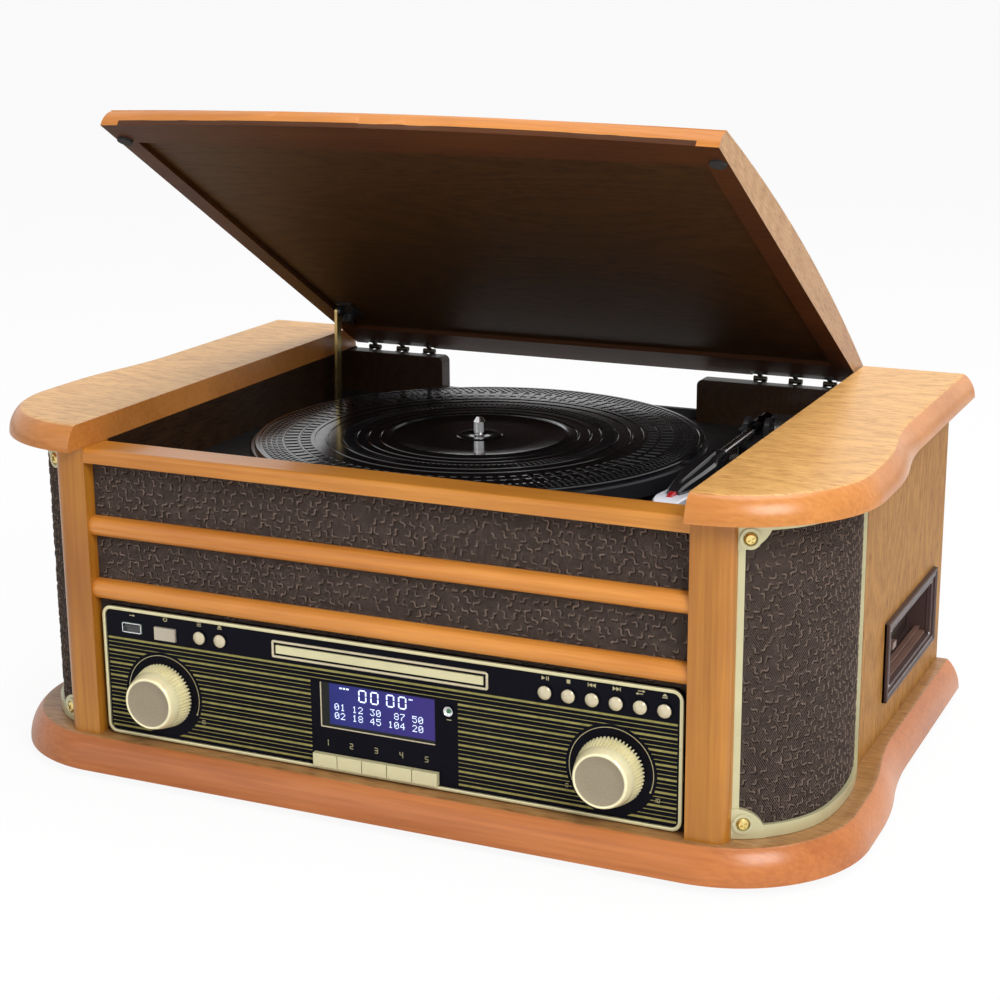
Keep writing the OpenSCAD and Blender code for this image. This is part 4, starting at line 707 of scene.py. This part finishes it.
def corner_cloths():
    """A stretched cloth over each speaker corner, as a thin closed sheet whose flat
    coordinates run along the curve, with its raised yarns. Open fault: the grille frame
    ends near 107.4 degrees, and the cloth runs on to CORNER_CLOTH_END, through the side
    panel and into the case."""
    z0, z1 = BASE_TOP + 0.2, PANEL_TOP - 0.2
    for side, label in ((-1, "left"), (1, "right")):
        ends, n = (CORNER_CLOTH_START, CORNER_CLOTH_END), 48
        front, run, ang = corner_angle_points(side, CLOTH_DEPTH, *ends, n)
        back, _, _ = corner_angle_points(side, CLOTH_DEPTH + CLOTH_THICK, *ends, n)
        ring, flat = [], []
        for p, z in ((front, z0), (front, z1), (back, z1), (back, z0)):
            ring.append(np.column_stack([p, np.full(n, z)]))
            flat.append(np.column_stack([side * run, np.full(n, z)]))
        q = np.stack(ring, 1).reshape(-1, 3)
        uv = np.stack(flat, 1).reshape(-1, 2)
        faces = [list(f) for f in grid_faces(n, 4, False, True)]
        faces += [[0, 3, 2, 1], [4 * (n - 1) + i for i in range(4)]]
        if side > 0:
            faces = [f[::-1] for f in faces]
        sheet = piece(f"{label}_corner_cloth", q, faces, "cabinet", "cloth_round", "cloth", uv=uv)
        if side < 0:
            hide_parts("grille_cloths")

        def lay(marks):
            t = np.radians(np.interp(marks[:, 0], run, ang))
            r, cx, cy = curve_centre(np.degrees(t))
            r = r - CLOTH_DEPTH + marks[:, 2]
            return np.column_stack([side * (cx + r * np.sin(t)), cy - r * np.cos(t),
                                    marks[:, 1] + z0]), side

        marks = cloth_marks(f"{label}_corner", lay, run[-1], z1 - z0, CORNER_SEED + side)


def front_cloth():
    """The cloth glued on the front board above the fascia, with its raised yarns."""
    x0, x1, z0, z1 = -HALF_WELL + 0.3, HALF_WELL - 0.3, 104.5, 190.7
    y0, y1 = BOARD_FRONT - 0.5, BOARD_FRONT - 0.05
    q, faces = boxes([[(x0 + x1) / 2, (y0 + y1) / 2, (z0 + z1) / 2]], [x1 - x0, y1 - y0, z1 - z0])
    sheet = piece("front_cloth", q, faces, "cabinet", "cloth_flat", "cloth")

    def lay(marks):
        return np.column_stack([marks[:, 0] + x0, y0 - marks[:, 2], marks[:, 1] + z0]), -1

    marks = cloth_marks("front_cloth", lay, x1 - x0, z1 - z0, FRONT_SEED)


# ---------------------------------------------------------------- fascia


def bead(width, rise, sink=0.4):
    """Half-round section of a bead, as (out, up) points."""
    a = np.linspace(0, math.pi, 7)
    top = np.stack([width / 2 * np.cos(a), rise * np.sin(a) ** 0.7], -1)
    return np.concatenate([top, [[-width / 2, -sink], [width / 2, -sink]]])


def fascia_trim():
    """The pale rim round the fascia, the frame round the disc tray, and the rings
    round the buttons and the sensor."""
    path, out = rounded_path(-180.9 + 1.1, 24.7 + 1.1, 180.9 - 1.1, 104.4 - 1.1, 5.0)
    piece("fascia_rim", *loop_bead(path, out, bead(2.3, 0.95, 0.2)), "cabinet", "cream",
          "champagne", merge=True)
    x0, x1, z0, z1 = 1.5 - 64.7 - 2.15, 1.5 + 64.7 + 2.15, 90.6 - 2.15, 95.4 + 2.15
    path, out = rounded_path(x0, z0, x1, z1, 0.4, 3)
    piece("tray_frame", *loop_bead(path, out, bead(1.5, 0.8, 0.2)), "cabinet", "pearl",
          "champagne", merge=True)
    parts = []
    for x, z, r in [(x, BUTTON_Z, 4.0) for x in BUTTON_XS] + [(x, PAIR_Z, 4.0) for x in PAIR_XS] \
            + [(*SENSOR, 2.75)]:
        profile = [(r, -0.2), (r, 0.3), (r + 0.2, 0.45), (r + 0.4, 0.3), (r + 0.45, -0.1)]
        parts.append(lathe([(a, -b) for a, b in profile], (x, FASCIA_FRONT, z), "y", 40))
    piece("button_rings", *joined(parts), "cabinet", "bronze", "champagne", merge=True)


DIGITS = ("01110100011001110101110011000101110 00100011000010000100001000010001110 "
          "01110100010000100010001000100011111 11111000100010000010000011000101110 "
          "00010001100101010010111110001000010 11111100001111000001000011000101110 "
          "00110010001000011110100011000101110 11111000010001000100010000100001000 "
          "01110100011000101110100011000101110 01110100011000101111000010001001100").split()
BAR_PLACES = {"a": (0.5, 1, 1), "g": (0.5, 0.5, 1), "d": (0.5, 0, 1), "f": (0, 0.75, 0),
              "b": (1, 0.75, 0), "e": (0, 0.25, 0), "c": (1, 0.25, 0)}
BARS = {0: "abcdef", 1: "bc", 2: "abged", 3: "abgcd", 4: "fgbc", 5: "afgcd", 6: "afgedc",
        7: "abc", 8: "abcdefg", 9: "abfgcd"}


def display_figures():
    """Clock figures of seven bars each, and two rows of five by seven dots."""
    y = FASCIA_FRONT + 0.42
    w, h, t, low = 4.3, 6.75, 0.78, 68.95
    bars = []
    for left in (-10.9, -3.3, 6.6, 14.1):
        for key in BARS[0]:
            fx, fz, flat = BAR_PLACES[key]
            centre = (left + fx * w, y, low + fz * h)
            size = (w - 1.0, 0.12, t) if flat else (t, 0.12, h / 2 - 0.7)
            bars.append((centre, size))
    for i in range(3):
        bars.append(((-22.5 + 2.2 * i, y, 75.2), (1.5, 0.12, 0.9)))
        bars.append(((20.6 + 0.9 * i, y, 75.0), (0.5, 0.12, 0.8)))
    pitch, dot = 0.58, 0.44
    for row, text in ((62.0, "01 12 30  87 50"), (56.7, "02 18 45 104 20")):
        for i, letter in enumerate(text):
            if letter == " ":
                continue
            for k, on in enumerate(DIGITS[int(letter)]):
                if on == "1":
                    cx = -26.4 + i * 3.77 + (k % 5) * pitch
                    bars.append(((cx, y, row + (6 - k // 5) * pitch), (dot, 0.1, dot)))
    centres, sizes = zip(*bars)
    piece("display_figures", *boxes(centres, np.array(sizes)), "cabinet", "segment", "lcd")
    q, f = boxes([(0.6, FASCIA_FRONT + 0.2, 50.9), (-35.2, FASCIA_FRONT + 0.2, 64.1)],
                 [(71.4, 0.5, 0.55), (0.55, 0.5, 26.6)])
    piece("display_edge", q, f, "cabinet", "pearl", "champagne")


def arc_band(x, z, r, width, a0, a1, n=64):
    """A flat arc on the fascia from angle a0 to a1, in degrees from straight up."""
    a = np.radians(np.linspace(a0, a1, n))
    ring = []
    for rr, y in ((r - width / 2, 0.03), (r + width / 2, 0.03), (r + width / 2, -0.2),
                  (r - width / 2, -0.2)):
        ring.append(np.stack([x + rr * np.sin(a), np.full(n, FASCIA_FRONT - y), z + rr * np.cos(a)], -1))
    q = np.stack(ring, 1).reshape(-1, 3)
    faces = [list(f) for f in grid_faces(n, 4, False, True)]
    faces += [[3, 2, 1, 0], [4 * (n - 1) + i for i in range(4)]]
    return q, faces


def number_bars(x, z, digit, w=1.2, h=2.0, t=0.28):
    """A small printed figure made of straight bars."""
    out = []
    for key in BARS[digit]:
        fx, fz, flat = BAR_PLACES[key]
        size = (w + t, 0.2, t) if flat else (t, 0.2, h / 2 + t)
        out.append(((x + (fx - 0.5) * w, FASCIA_FRONT + 0.06, z + (fz - 0.5) * h), size))
    return out


def fascia_marks():
    """Printed arcs and ticks of the knobs, plain numbers, and generic control signs."""
    parts = []
    bars = []
    for side in (-1, 1):
        parts.append(arc_band(side * KNOB_X, KNOB_Z, 24.1, 0.36, -112, 112))
        for a in (-112, 112):
            t = math.radians(a)
            bars.append(((side * KNOB_X + 24.1 * math.sin(t), FASCIA_FRONT + 0.06,
                          KNOB_Z + 24.1 * math.cos(t)), (0.9, 0.2, 0.9)))
    for i in range(5):
        bars += number_bars(-0.5 + (i - 2) * KEY_PITCH, 41.4, i + 1, 1.7, 3.0, 0.4)
    for side in (-1, 1):
        bars += number_bars(side * KNOB_X - 25.4, 40.6, 0)
        bars += number_bars(side * KNOB_X + 25.0, 40.6, 1)
        bars += number_bars(side * KNOB_X + 27.0, 40.6, 0)
    centres, sizes = zip(*bars)
    parts.append(boxes(centres, np.array(sizes)))
    z = BUTTON_Z + 8.2

    def sign(points):
        """A flat closed figure of (x, z) points as a thin plate."""
        p = np.asarray(points, float)
        n = len(p)
        q = np.concatenate([np.column_stack([p[:, 0], np.full(n, FASCIA_FRONT + y), p[:, 1]])
                            for y in (-0.03, 0.2)])
        faces = [list(range(n)), list(range(2 * n - 1, n - 1, -1))]
        faces += [[i, n + i, n + (i + 1) % n, (i + 1) % n] for i in range(n)]
        parts.append((q, faces))

    def triangle(x, zz, way, s=1.15):
        sign([(x - way * s * 0.8, zz - s), (x + way * s, zz), (x - way * s * 0.8, zz + s)][::way])

    def bar(x, zz, w, h):
        sign([(x - w / 2, zz - h / 2), (x + w / 2, zz - h / 2), (x + w / 2, zz + h / 2),
              (x - w / 2, zz + h / 2)])

    xs = BUTTON_XS
    triangle(xs[0] - 1.0, z, 1)
    bar(xs[0] + 1.0, z, 0.5, 2.2)
    bar(xs[0] + 2.0, z, 0.5, 2.2)
    bar(xs[1], z, 2.1, 2.1)
    triangle(xs[2] + 1.1, z, -1)
    triangle(xs[2] - 0.9, z, -1)
    bar(xs[2] - 2.3, z, 0.45, 2.2)
    triangle(xs[3] - 1.1, z, 1)
    triangle(xs[3] + 0.9, z, 1)
    bar(xs[3] + 2.3, z, 0.45, 2.2)
    bar(xs[4], z + 0.8, 3.0, 0.42)
    bar(xs[4], z - 0.8, 3.0, 0.42)
    triangle(xs[4] + 1.9, z + 0.8, 1, 0.8)
    triangle(xs[4] - 1.9, z - 0.8, -1, 0.8)
    for x, zz in ((xs[5], z), (PAIR_XS[1], PAIR_Z + 8.2)):
        sign([(x - 1.5, zz - 0.1), (x + 1.5, zz - 0.1), (x, zz + 1.4)])
        bar(x, zz - 0.9, 3.0, 0.5)
    for i in range(3):
        bar(PAIR_XS[0], PAIR_Z + 8.2 + (i - 1) * 1.0, 2.8, 0.42)
    parts.append(arc_band(POWER_X, 100.6, 1.15, 0.4, 35, 325, 24))
    bar(POWER_X, 101.7, 0.42, 1.5)
    bar(STICK_SOCKET[0], 100.0, 2.6, 0.42)
    triangle(-158.9, 100.0, 1, 0.7)
    bar(SENSOR[0], 67.0, 3.0, 0.4)
    piece("fascia_marks", *joined(parts), "cabinet", "print", "black_gloss", smooth=30)


# ---------------------------------------------------------------- turntable


def mat():
    """The ribbed record mat: a turned section with rings and a sunk middle, and rows
    of short radial bars like the marks of a stroboscope rim."""
    t = MAT_TOP - MAT_LOW
    f = t - 0.45
    prof = [(3.85, 0.0), (3.85, t - 0.3), (4.4, t), (12.2, t), (13.6, t - 0.1), (14.2, f - 0.3),
            (38.0, f - 0.5), (41.0, f - 0.4), (52.5, t - 0.15), (53.6, t), (54.6, f)]
    for ring in (61.0, 68.5, 75.5, 84.8, 93.5, 102.3, 110.6, 120.3):
        w = 1.3 if ring == 102.3 else 0.55
        prof += [(ring - w - 0.25, f), (ring - w, t - 0.08), (ring + w, t - 0.08), (ring + w + 0.25, f)]
    prof += [(134.6, f), (135.0, t), (137.0, t), (137.5, t - 0.6), (137.5, 0.0)]
    parts = [lathe(prof, (*PLATTER, MAT_LOW), "z", 160)]
    rows = [(122.3, 2.6, 2.1, 186), (125.6, 2.4, 2.1, 192), (128.8, 2.3, 2.0, 200),
            (131.9, 2.2, 2.0, 206), (115.4, 7.6, 3.6, 96), (106.6, 5.6, 3.2, 96),
            (80.2, 6.6, 1.7, 150)]
    for radius, length, width, count in rows:
        a = (np.arange(count) + 0.25 * (radius > 121) * (radius % 2)) * TAU / count
        c = np.column_stack([PLATTER[0] + radius * np.cos(a), PLATTER[1] + radius * np.sin(a),
                             np.full(count, MAT_LOW + f + 0.1)])
        parts.append(boxes(c, (length, width, 0.7), a))
    mat = piece("ribbed_mat", *joined(parts), "turntable", "mat", "rubber", smooth=35)
    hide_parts("platter_mat")


# ---------------------------------------------------------------- boards

BULGE, HALF_W, FRONT_Y, BACK_Y = 9.5, 257.0, -172.0, 172.0
CORNER_R, EASE_Y, EASE_R, EASE_ANGLE = 80.0, -67.5, 251.0, 11.165


def half_outline():
    """Half the outline of the base and wings, front to back, as points and outward
    directions: a quarter circle, then two opposite arcs that ease into the side."""
    def arc(cx, cy, r, start, end, n):
        a = np.radians(np.linspace(start, end, n))
        way = np.stack([np.cos(a), np.sin(a)], -1)
        return np.array([cx, cy]) + r * way, way

    corner = arc(HALF_W + BULGE - CORNER_R, FRONT_Y + CORNER_R, CORNER_R, -90, 0, 46)
    ease_x = HALF_W + BULGE - EASE_R
    ease = arc(ease_x, EASE_Y, EASE_R, 0, EASE_ANGLE, 10)
    a = math.radians(EASE_ANGLE)
    turn_x, turn_y = ease_x + 2 * EASE_R * math.cos(a), EASE_Y + 2 * EASE_R * math.sin(a)
    b = np.radians(np.linspace(EASE_ANGLE, 0, 10))[1:]
    way = np.stack([np.cos(b), np.sin(b)], -1)
    turn = np.array([turn_x, turn_y]) - EASE_R * way
    points = np.concatenate([corner[0], ease[0], turn, [[HALF_W, BACK_Y]]])
    ways = np.concatenate([corner[1], ease[1], way, [[1.0, 0.0]]])
    return points, ways


def moulded_board(points, ways, low, thick, width, steps=12):
    """A board whose edge is an arc, upright at the bottom and width inwards at the top,
    carried round its outline. Point i lies across from the i-th point from the end."""
    r = (width ** 2 + thick ** 2) / (2 * width)
    a = np.linspace(0, math.asin(thick / r), steps + 1)
    inset, up = r - r * np.cos(a), r * np.sin(a)
    inset = np.concatenate([[2.5], inset, [width + 0.8, width + 4.0]])
    up = np.concatenate([[0.0], up, [thick, thick]])
    up[-4] -= 0.15
    up[-3] -= 0.45
    inset[-3] -= 0.25
    m, n = len(points), len(inset)
    q = np.zeros((n, m, 3))
    q[..., :2] = points[None] - inset[:, None, None] * ways[None]
    q[..., 2] = low + up[:, None]
    faces = list(grid_faces(n, m, False, True))
    i = np.arange(m // 2 - 1)
    strips = np.stack([i, i + 1, m - 2 - i, m - 1 - i], -1)
    faces += list(strips[:, ::-1]) + list(strips + (n - 1) * m)
    return q.reshape(-1, 3), faces


def boards():
    """The base plank and the two wings, with smoothly rounded edges."""
    points, ways = half_outline()
    flip = np.array([-1.0, 1.0])
    both = np.concatenate([points[::-1] * flip, points])
    both_ways = np.concatenate([ways[::-1] * flip, ways])
    base = piece("moulded_base", *moulded_board(both, both_ways, 5.0, 19.0, 8.2), "cabinet",
                 "base", "lacquer", merge=True)
    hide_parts("base_plank")
    inner = np.column_stack([np.full(len(points), HALF_WELL + 1.0), points[::-1, 1]])
    inner_ways = np.column_stack([np.zeros(len(points)), ways[::-1, 1]])
    right = np.concatenate([inner, points]), np.concatenate([inner_ways, ways])
    q, faces = moulded_board(*right, PANEL_TOP, WING_TOP - PANEL_TOP, 7.4)
    left = q * np.array([-1.0, 1.0, 1.0])
    wings = piece("moulded_wings", *joined([(q, faces), (left, [f[::-1] for f in faces])]),
                  "cabinet", "wing", "veneer", merge=True)
    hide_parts("wing_boards")


# ---------------------------------------------------------------- controls

RIBS = 54


def knobs():
    """Two knobs: a cone from its back rim to its face, whose back part is cut into ribs.
    The rib depth follows a cosine round the knob and fades to nothing along the cone."""
    rows = [(0.0, 0.0, 0.0), (19.6, 0.0, 1.1), (20.1, 0.5, 1.25), (19.7, 3.0, 1.25),
            (19.1, 6.0, 1.15), (18.5, 8.6, 0.95), (18.15, 10.0, 0.45), (18.0, 10.6, 0.0),
            (17.2, 13.4, 0.0), (16.3, 16.0, 0.0), (16.0, 16.7, 0.0), (15.6, 17.1, 0.0),
            (15.1, 17.3, 0.0), (14.8, 17.15, 0.0), (14.5, 16.9, 0.0), (8.0, 16.95, 0.0),
            (0.0, 17.0, 0.0)]
    radius, out, depth = np.array(rows).T
    n = RIBS * 8
    a = np.arange(n) * TAU / n
    tooth = np.clip(0.5 - 0.75 * np.cos(RIBS * a), 0, 1)
    radius, out = radius * 0.965, out * 0.97
    r = radius[None] - depth[None] * 1.25 * tooth[:, None]
    for side, body, node in ((-1, "volume", "volume_knob"), (1, "tuning", "tuning_knob")):
        q = np.stack([side * KNOB_X + r * np.cos(a)[:, None],
                      FASCIA_FRONT - 0.5 - out[None] + 0 * r,
                      KNOB_Z + r * np.sin(a)[:, None]], -1)
        faces = grid_faces(n, len(rows), True, False)
        knob = piece(f"ribbed_{node}", q.reshape(-1, 3), faces, body, "knob", "champagne",
                     smooth=50, merge=True)
        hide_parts(node)


def front_sockets():
    """The memory stick socket with its tongue, and the bowl of the remote sensor."""
    x, z = STICK_SOCKET
    y = FASCIA_FRONT
    shell = boxes([(x, y + 0.6, z + 2.75), (x, y + 0.6, z - 2.75), (x - 6.35, y + 0.6, z),
                   (x + 6.35, y + 0.6, z)],
                  [(13.1, 2.0, 0.5), (13.1, 2.0, 0.5), (0.5, 2.0, 6.0), (0.5, 2.0, 6.0)])
    piece("stick_socket_shell", *shell, "cabinet", "chrome", "steel")
    piece("stick_socket_hollow", *boxes([(x, y + 2.4, z)], (13.0, 1.0, 5.8)), "cabinet", "black",
          "black_matte")
    piece("stick_socket_tongue", *boxes([(x, y + 1.3, z + 0.7)], (10.6, 1.2, 1.5)), "cabinet",
          "black", "black_gloss")
    bowl = [(0.0, -0.1), (1.2, -0.25), (2.1, -0.8), (2.5, -1.3), (2.8, -1.3), (2.95, 0.3), (0.0, 0.3)]
    place = (SENSOR[0], FASCIA_FRONT, SENSOR[1])
    piece("sensor_bowl", *lathe(bowl, place, "y", 48), "cabinet", "chrome",
          "champagne", merge=True)


# ---------------------------------------------------------------- tonearm


def on_arm(points):
    """Points of the arm's own frame, along -Y from its pivot, turned by its lean."""
    p = np.asarray(points, float)
    t = math.radians(ARM_LEAN)
    x = p[..., 0] * math.cos(t) - p[..., 1] * math.sin(t)
    y = p[..., 0] * math.sin(t) + p[..., 1] * math.cos(t)
    return np.stack([x + ARM[0], y + ARM[1], p[..., 2] + ARM[2]], -1)


def loft(stations, round_by=0.35):
    """Sections of eight points carried along -Y: each station is (y, half width, low,
    high), and its corners are cut by a share of its smaller side."""
    q = []
    for y, half, low, high in stations:
        c = round_by * min(half, (high - low) / 2)
        q.append([(-half, y, low + c), (-half + c, y, low), (half - c, y, low), (half, y, low + c),
                  (half, y, high - c), (half - c, y, high), (-half + c, y, high),
                  (-half, y, high - c)])
    q = np.asarray(q)
    n = len(q)
    faces = [list(f) for f in grid_faces(n, 8, False, True)]
    faces += [list(range(7, -1, -1)), [(n - 1) * 8 + i for i in range(8)]]
    return on_arm(q).reshape(-1, 3), faces


def tonearm_dress():
    """The long black head shell with its neck, the white stylus guard and the red stylus."""
    shell = [(-79, 3.6, -3.8, 3.8), (-84, 4.6, -4.2, 4.2), (-100, 5.2, -4.4, 4.0),
             (-104, 7.0, -4.6, 3.6), (-112, 7.6, -4.8, 3.4), (-130, 7.0, -4.9, 3.0),
             (-146, 5.6, -4.9, 2.4), (-158, 4.4, -4.9, 1.4), (-163, 3.6, -4.9, 0.2)]
    ridge = [(-90, 1.1, 3.4, 5.2), (-104, 1.2, 3.0, 4.9), (-136, 1.2, 2.4, 4.0),
             (-150, 0.8, 1.4, 3.0)]
    lift, lift_faces = boxes([(-8.0, -112.0, 1.6)], (9.0, 4.0, 1.4))
    part = joined([loft(shell), loft(ridge), (on_arm(lift), lift_faces)])
    head = piece("head_shell", *part, "arm", "black", "black_gloss", smooth=35, merge=True)
    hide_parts("cartridge_shell")
    guard = [(-122, 7.6, -6.6, -5.0), (-140, 8.9, -6.8, -4.2), (-158, 8.9, -6.8, -2.4),
             (-168, 8.7, -6.8, -1.4), (-174, 7.8, -6.8, -1.6), (-177, 6.4, -6.6, -2.6)]
    piece("stylus_guard", *loft(guard), "arm", "guard", "plain_board", smooth=35, merge=True)
    stylus = [(-158, 1.9, -3.2, 0.0), (-166, 1.9, -3.2, 0.0), (-170, 1.5, -3.2, -0.6)]
    piece("stylus_block", *loft(stylus), "arm", "red", "black_gloss", smooth=35, merge=True)


# ---------------------------------------------------------------- cassette


def cassette_dress():
    """The moulded bezel of the cassette slot, its corner pins, the ledge below the
    opening and the cap of the eject key."""
    profile = [(0.0, 0.0), (0.0, 2.7), (0.9, 3.2), (1.8, 2.9), (2.2, 2.2), (5.6, 0.5), (5.9, 1.6),
               (6.9, 1.7), (7.3, 1.2), (7.5, -1.0)]
    inset, rise = np.array(profile).T
    y0, y1, z0, z1 = 24.5, 148.6, 44.0, 92.8
    stretch = 10.0 / 7.5
    corners = [np.stack([241.5 + rise, y, z], -1) for y, z in
               ((y0 + inset * stretch, z0 + inset), (y1 - inset * stretch, z0 + inset),
                (y1 - inset * stretch, z1 - inset), (y0 + inset * stretch, z1 - inset))]
    back = [np.array([[240.5, y, z], [240.5, yy, zz]]) for y, z, yy, zz in
            ((y0 + 10.3, z0 + 7.6, y0 + 4, z0 + 4), (y1 - 10.3, z0 + 7.6, y1 - 4, z0 + 4),
             (y1 - 10.3, z1 - 7.6, y1 - 4, z1 - 4), (y0 + 10.3, z1 - 7.6, y0 + 4, z1 - 4))]
    q = np.stack([np.concatenate([c, b]) for c, b in zip(corners, back)])
    piece("slot_bezel", q.reshape(-1, 3), grid_faces(4, q.shape[1], True, True), "cabinet",
          "brown", "brown_plastic", smooth=20, merge=True)
    pins = [lathe([(0.0, -0.4), (1.3, -0.4), (1.3, 0.5), (0.9, 0.9), (0.0, 1.0)],
                  (242.2, y, z), "x", 20) for y in (35.0, 138.5) for z in (51.0, 86.0)]
    piece("slot_pins", *joined(pins), "cabinet", "chrome", "steel", merge=True)
    # The ledge and the eject cap wear the lighter brown: painted light
    ledge = boxes([(238.3, 87, 52.6), (235.5, 87, 55.4), (240.2, 36.2, 68), (238.0, 40.5, 62)],
                  [(4.0, 101, 1.6), (3.0, 101, 1.2), (2.0, 1.6, 31), (3.0, 1.8, 20)])
    piece("slot_ledge", *ledge, "cabinet", "brown_light", "brown_plastic", smooth=20)
    cap = boxes([(241.4, 42.25, 74.75)], [(4.2, 8.6, 4.1)])
    piece("eject_cap", *cap, "eject_key", "brown_light", "brown_plastic", smooth=20)


# ---------------------------------------------------------------- studio


def studio():
    """White surround, a white floor that keeps a soft shadow, and three soft lamps."""
    scene = bpy.context.scene
    world = bpy.data.worlds.new("white_surround")
    scene.world = world
    world.use_nodes = True
    tree = world.node_tree
    tree.nodes.clear()
    out = tree.nodes.new("ShaderNodeOutputWorld")
    light = tree.nodes.new("ShaderNodeBackground")
    seen = tree.nodes.new("ShaderNodeBackground")
    light.inputs["Strength"].default_value = 0.36
    seen.inputs["Strength"].default_value = 1.0
    for shade in (light, seen):
        shade.inputs["Color"].default_value = (1, 1, 1, 1)
    path = tree.nodes.new("ShaderNodeLightPath")
    either = path.outputs["Is Camera Ray"]
    for name in ("Is Glossy Ray", "Is Transmission Ray"):
        node = tree.nodes.new("ShaderNodeMath")
        node.operation = "MAXIMUM"
        tree.links.new(either, node.inputs[0])
        tree.links.new(path.outputs[name], node.inputs[1])
        either = node.outputs[0]
    mix = tree.nodes.new("ShaderNodeMixShader")
    tree.links.new(either, mix.inputs[0])
    tree.links.new(light.outputs[0], mix.inputs[1])
    tree.links.new(seen.outputs[0], mix.inputs[2])
    tree.links.new(mix.outputs[0], out.inputs["Surface"])

    mesh = bpy.data.meshes.new("floor")
    s = 60.0
    mesh.from_pydata([(-s, -s, 0), (s, -s, 0), (s, s, 0), (-s, s, 0)], [], [(0, 1, 2, 3)])
    floor = bpy.data.objects.new("floor", mesh)
    scene.collection.objects.link(floor)
    k = Finish("floor_white", color=(0.86, 0.86, 0.86), rough=0.9)
    path = k.add("ShaderNodeLightPath")
    glow = k.add("ShaderNodeEmission")
    glow.inputs["Strength"].default_value = 1.0
    mix = k.add("ShaderNodeMixShader")
    k.put(k.calc("MULTIPLY", path.outputs["Is Camera Ray"], 0.92), mix.inputs[0])
    k.put(k.surface.outputs[0], mix.inputs[1])
    k.put(glow.outputs[0], mix.inputs[2])
    out = next(n for n in k.tree.nodes if n.type == "OUTPUT_MATERIAL")
    k.put(mix.outputs[0], out.inputs["Surface"])
    mesh.materials.append(k.material)

    def lamp(name, place, aim, size, power):
        data = bpy.data.lights.new(name, "AREA")
        data.shape, data.size, data.energy = "SQUARE", size, power
        thing = bpy.data.objects.new(name, data)
        scene.collection.objects.link(thing)
        thing.location = place
        way = np.subtract(aim, place)
        thing.rotation_mode = "QUATERNION"
        thing.rotation_quaternion = Vector(way).to_track_quat("-Z", "Y")

    lamp("key", (1.5, -1.3, 1.6), (0.05, 0, 0.12), 1.1, 44)
    lamp("top", (0.3, 0.3, 2.2), (0.05, 0, 0.1), 1.4, 30)
    lamp("fill", (-1.3, -2.0, 0.9), (0, 0, 0.12), 1.6, 7)


def camera():
    """The photograph's camera: place, heading, tilt and roll worked out from the
    straight edges of the object, with a 73.4 mm lens on a 36 mm sensor."""
    yaw, pitch, roll = (math.radians(v) for v in (24.577, -15.365, -0.398))
    fwd = np.array([-math.sin(yaw) * math.cos(pitch), math.cos(yaw) * math.cos(pitch), math.sin(pitch)])
    right = np.array([math.cos(yaw), math.sin(yaw), 0.0])
    up = np.cross(right, fwd)
    r2 = math.cos(roll) * right + math.sin(roll) * up
    u2 = -math.sin(roll) * right + math.cos(roll) * up
    m = np.eye(4)
    m[:3, 0], m[:3, 1], m[:3, 2], m[:3, 3] = r2, u2, -fwd, (0.5065, -1.0936, 0.4794)
    data = bpy.data.cameras.new("view")
    data.lens, data.sensor_width, data.clip_end = 73.414, 36.0, 50.0
    thing = bpy.data.objects.new("view", data)
    bpy.context.scene.collection.objects.link(thing)
    thing.matrix_world = Matrix(m.tolist())
    bpy.context.scene.camera = thing


bpy.context.scene.view_settings.view_transform = "Standard"
camera()
make_finishes()
dress_solids()
corner_cloths()
front_cloth()
fascia_trim()
display_figures()
fascia_marks()
knobs()
front_sockets()
boards()
tonearm_dress()
cassette_dress()
mat()
studio()
